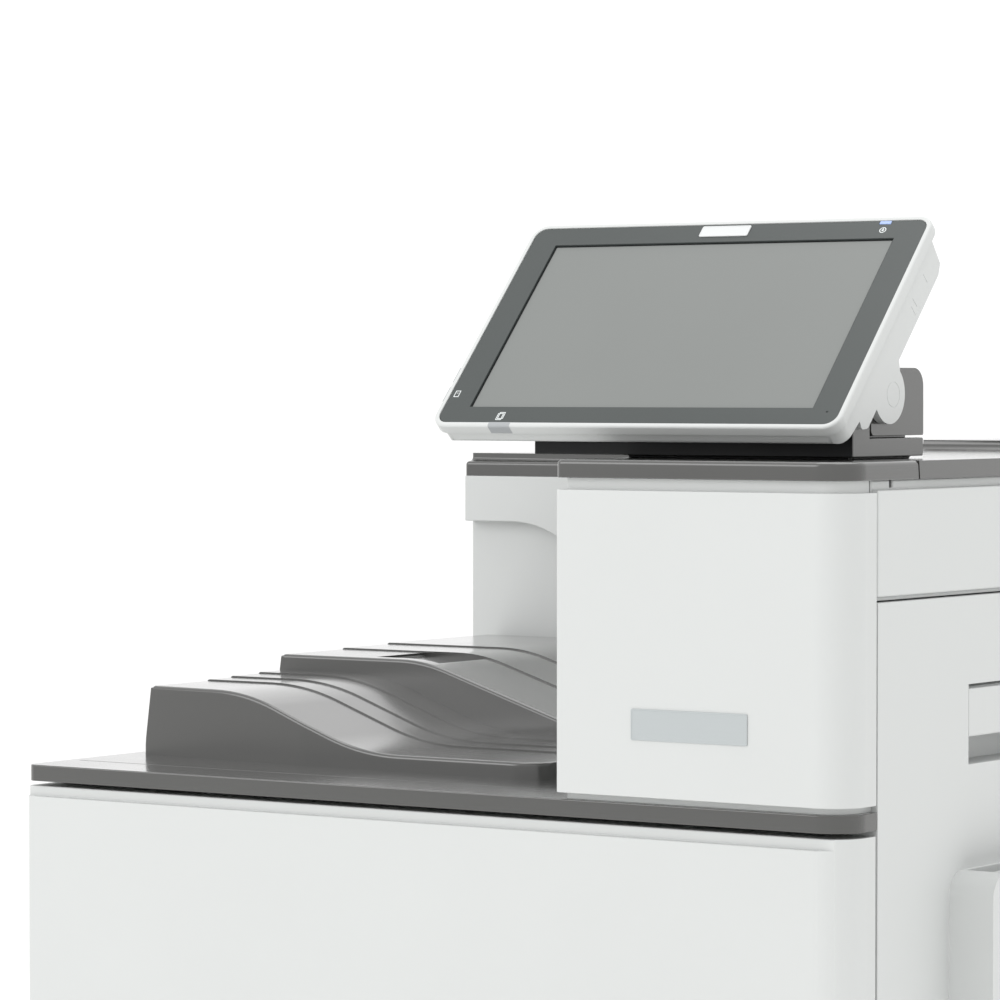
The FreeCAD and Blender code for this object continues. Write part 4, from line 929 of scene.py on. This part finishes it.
class PRINTER_OT_right_door(bpy.types.Operator):
    """Right door with its pull lever."""
    bl_idname = "printer.right_door"
    bl_label = "Right door"

    def execute(self, context):
        door = soften(moulding("right_door", "right_door_shell"), sizes().cover_edge * 0.8, 2)
        fit(door, "right_door", "white_cover", white_abs(), ["right_door"])
        lever = soften(moulding("right_door_lever", "right_door_pull"), 0.6 * MM, 2)
        fit(lever, "door_lever", "white_cover", white_abs(), ["right_door_lever"])
        return {"FINISHED"}


class PRINTER_OT_bypass(bpy.types.Operator):
    """Fold-out bypass tray, its extension and its two paper guides."""
    bl_idname = "printer.bypass"
    bl_label = "Bypass"

    def execute(self, context):
        parts = (("bypass_tray", "bypass_leaf", "bypass_tray", "white_cover", white_abs, 0.8),
                 ("bypass_extension", "bypass_slider", "bypass_extension", "grey_cover", grey_abs, 0.4),
                 ("bypass_guide_front", "bypass_fence_front", "guide_front", "grey_cover", grey_abs, 0.4),
                 ("bypass_guide_back", "bypass_fence_back", "guide_back", "grey_cover", grey_abs, 0.4))
        for node, name, body, slot, material, edge in parts:
            fit(soften(moulding(node, name), edge * MM, 2), body, slot, material(), [node])
        return {"FINISHED"}


class PRINTER_OT_rear_cover(bpy.types.Operator):
    """Rear cover with its grilles, the inlet and rocker, and the screws that hold it."""
    bl_idname = "printer.rear_cover"
    bl_label = "Rear cover"

    def execute(self, context):
        low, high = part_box("rear_cover")
        back = moulding("rear_cover", "rear_cover_panel")
        spots = [(x, z) for x in (low.x + 16 * MM, 0, high.x - 16 * MM)
                 for z in (40 * MM, 300 * MM, 640 * MM)]
        carve(back, *[disc("well", (x, high.y, z), 5 * MM, 1.6 * MM, "Y", 32) for x, z in spots])
        groove = block("panel_line", (low.x - MM, high.y - 0.8 * MM, 262 * MM),
                       (high.x + MM, high.y + MM, 263.6 * MM))
        bed = block("label_bed", (high.x - 130 * MM, high.y - 0.5 * MM, 90 * MM),
                    (high.x - 50 * MM, high.y + MM, 140 * MM))
        carve(back, groove, round_edges(bed, lambda e: along(e, BACK), 2.4 * MM, 5))
        fit(soften(back, 0.5 * MM, 2), "root", "white_cover", white_abs(), ["rear_cover"])

        x, z = spots[0]
        screw = disc("rear_screw", (x, high.y - 0.75 * MM, z), 3.4 * MM, 1.1 * MM, "Y", 28)
        choose(screw, "FACE", lambda f: facing(f, BACK))
        bpy.ops.mesh.inset(thickness=2.3 * MM)
        bpy.ops.mesh.extrude_region_move(TRANSFORM_OT_translate={"value": (0, -0.5 * MM, 0)})
        bpy.ops.object.mode_set(mode="OBJECT")
        soften(screw, 0.25 * MM)
        screws = copies(screw, [(u - x, 0, w - z) for u, w in spots[1:]])
        fit(join("rear_cover_screws", screws), "root", "bright_steel", ground_steel())

        label = block("rear_blank_label", (high.x - 129.5 * MM, high.y - 0.5 * MM, 90.5 * MM),
                      (high.x - 50.5 * MM, high.y - 0.1 * MM, 139.5 * MM))
        round_edges(label, lambda e: along(e, BACK), 2 * MM, 5)
        fit(label, "root", "plate", satin_aluminium())

        inlet = soften(moulding("power_inlet", "mains_inlet_block"), 0.4 * MM, 2)
        fit(inlet, "root", "black_plastic", black_abs_and_painted_shade(), ["power_inlet"])
        rocker = soften(moulding("power_switch", "mains_rocker"), 0.3 * MM, 2)
        fit(rocker, "power_switch", "black_plastic", black_abs_and_painted_shade(), ["power_switch"])
        return {"FINISHED"}


class PRINTER_OT_feet(bpy.types.Operator):
    """Four rubber feet, each with a ring of tread under its sole."""
    bl_idname = "printer.feet"
    bl_label = "Feet"

    def execute(self, context):
        feet = moulding("rubber_feet", "rubber_foot_set")
        fit(soften(feet, 1.2 * MM, 3), "root", "foot_rubber", foot_rubber(), ["rubber_feet"])
        return {"FINISHED"}


class PRINTER_OT_inside(bpy.types.Operator):
    """Finishes for the parts inside the covers."""
    bl_idname = "printer.inside"
    bl_label = "Inside"

    def execute(self, context):
        finishes = {
            zinc_steel: ("chassis", "drawer_runners", "fuser_frame"),
            ground_steel: ("door_hinge_pins", "fuser_hot_roller"),
            roller_rubber: ("fuser_pressure_roller", "exit_roller"),
            belt_film: ("transfer_belt_unit",),
            black_abs_and_painted_shade: ("fan_rotor", "laser_unit", "drum_units"),
            inner_abs: ("toner_cradle", "lower_drawer_tray", "upper_drawer_tray"),
            fence_acetal: ("lower_side_fence_front", "lower_side_fence_back", "lower_end_fence"),
        }
        for material, nodes in finishes.items():
            for node in nodes:
                self.paint(node, material())
        for node in ("lower_lift_plate", "upper_lift_plate"):
            self.paint(node, zinc_steel())
        toners = (("black", "#232324"), ("cyan", "#0C7FB5"), ("magenta", "#B8276B"), ("white", "#E4E4E0"))
        for index, (name, code) in enumerate(toners):
            self.paint("toner_bottle_%d" % (index + 1), toner_hdpe(name, code))
        return {"FINISHED"}

    def paint(self, node, material):
        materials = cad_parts[node].data.materials
        materials.clear()
        materials.append(material)


class PRINTER_OT_stage(bpy.types.Operator):
    """Pale paper floor, soft studio light and the camera."""
    bl_idname = "printer.stage"
    bl_label = "Stage"

    def execute(self, context):
        size = sizes().floor_size
        begin()
        bpy.ops.mesh.primitive_grid_add(x_subdivisions=8, y_subdivisions=8, size=size)
        floor = context.object
        floor.name = "paper_floor"
        floor.data.materials.append(floor_paper())
        floor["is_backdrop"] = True

        world = bpy.data.worlds.new("Studio")
        context.scene.world = world
        world.use_nodes = True
        sky = world.node_tree.nodes["Background"]
        sky.inputs["Color"].default_value = linear("#FFFFFF")
        sky.inputs["Strength"].default_value = 1.1
        self.lamp("Key softbox", (-2.2, -3.2, 2.6), (-0.05, -0.1, 0.55), 2.2, 34)
        self.lamp("Top softbox", (0.0, 0.4, 3.4), (0.0, 0.0, 0.5), 2.6, 32)

        begin()
        bpy.ops.object.camera_add(location=(1.4049, -2.3075, 0.8084))
        camera = context.object
        camera.name = "Studio camera"
        camera.rotation_euler = (math.radians(90 - 1.513), 0, math.radians(34.639))
        camera.data.sensor_width = 36
        camera.data.lens = 157.15
        camera.data.clip_end = 600
        context.scene.camera = camera
        context.scene.view_settings.view_transform = "Standard"
        return {"FINISHED"}

    def lamp(self, name, place, aim, side, watts):
        begin()
        bpy.ops.object.light_add(type="AREA", location=place)
        lamp = bpy.context.object
        lamp.name = name
        lamp.data.shape = "SQUARE"
        lamp.data.size = side
        lamp.data.energy = watts
        lamp.rotation_euler = (Vector(aim) - Vector(place)).to_track_quat("-Z", "Y").to_euler()


class PRINTER_PT_panel(bpy.types.Panel):
    """Buttons that build each group of pieces."""
    bl_idname = "PRINTER_PT_panel"
    bl_label = "Printer"
    bl_space_type = "VIEW_3D"
    bl_region_type = "UI"
    bl_category = "Printer"

    def draw(self, context):
        for group in (context.scene.printer_sizes, context.scene.printer_colours):
            for name in group.__annotations__:
                self.layout.prop(group, name)
        for step in STEPS:
            self.layout.operator(step.bl_idname)


STEPS = (PRINTER_OT_stage, PRINTER_OT_panel_frame, PRINTER_OT_panel_bezel, PRINTER_OT_panel_display,
         PRINTER_OT_panel_housing, PRINTER_OT_panel_support, PRINTER_OT_lids, PRINTER_OT_tower,
         PRINTER_OT_output_tray, PRINTER_OT_rear_housing, PRINTER_OT_deck, PRINTER_OT_front_door,
         PRINTER_OT_drawers, PRINTER_OT_side_covers, PRINTER_OT_right_door, PRINTER_OT_bypass,
         PRINTER_OT_rear_cover, PRINTER_OT_feet, PRINTER_OT_inside)
CLASSES = (PrinterSizes, PrinterColours) + STEPS + (PRINTER_PT_panel,)


def register():
    for kind in CLASSES:
        bpy.utils.register_class(kind)
    bpy.types.Scene.printer_sizes = PointerProperty(type=PrinterSizes)
    bpy.types.Scene.printer_colours = PointerProperty(type=PrinterColours)


def unregister():
    del bpy.types.Scene.printer_colours
    del bpy.types.Scene.printer_sizes
    for kind in reversed(CLASSES):
        bpy.utils.unregister_class(kind)


def main():
    register()
    for step in STEPS:
        group, name = step.bl_idname.split(".")
        getattr(getattr(bpy.ops, group), name)()
    begin()
    low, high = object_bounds()
    {"cad": [list(CAD_LOW), list(CAD_HIGH)], "visual": [list(low), list(high)]}


if __name__ == "__main__":
    main()
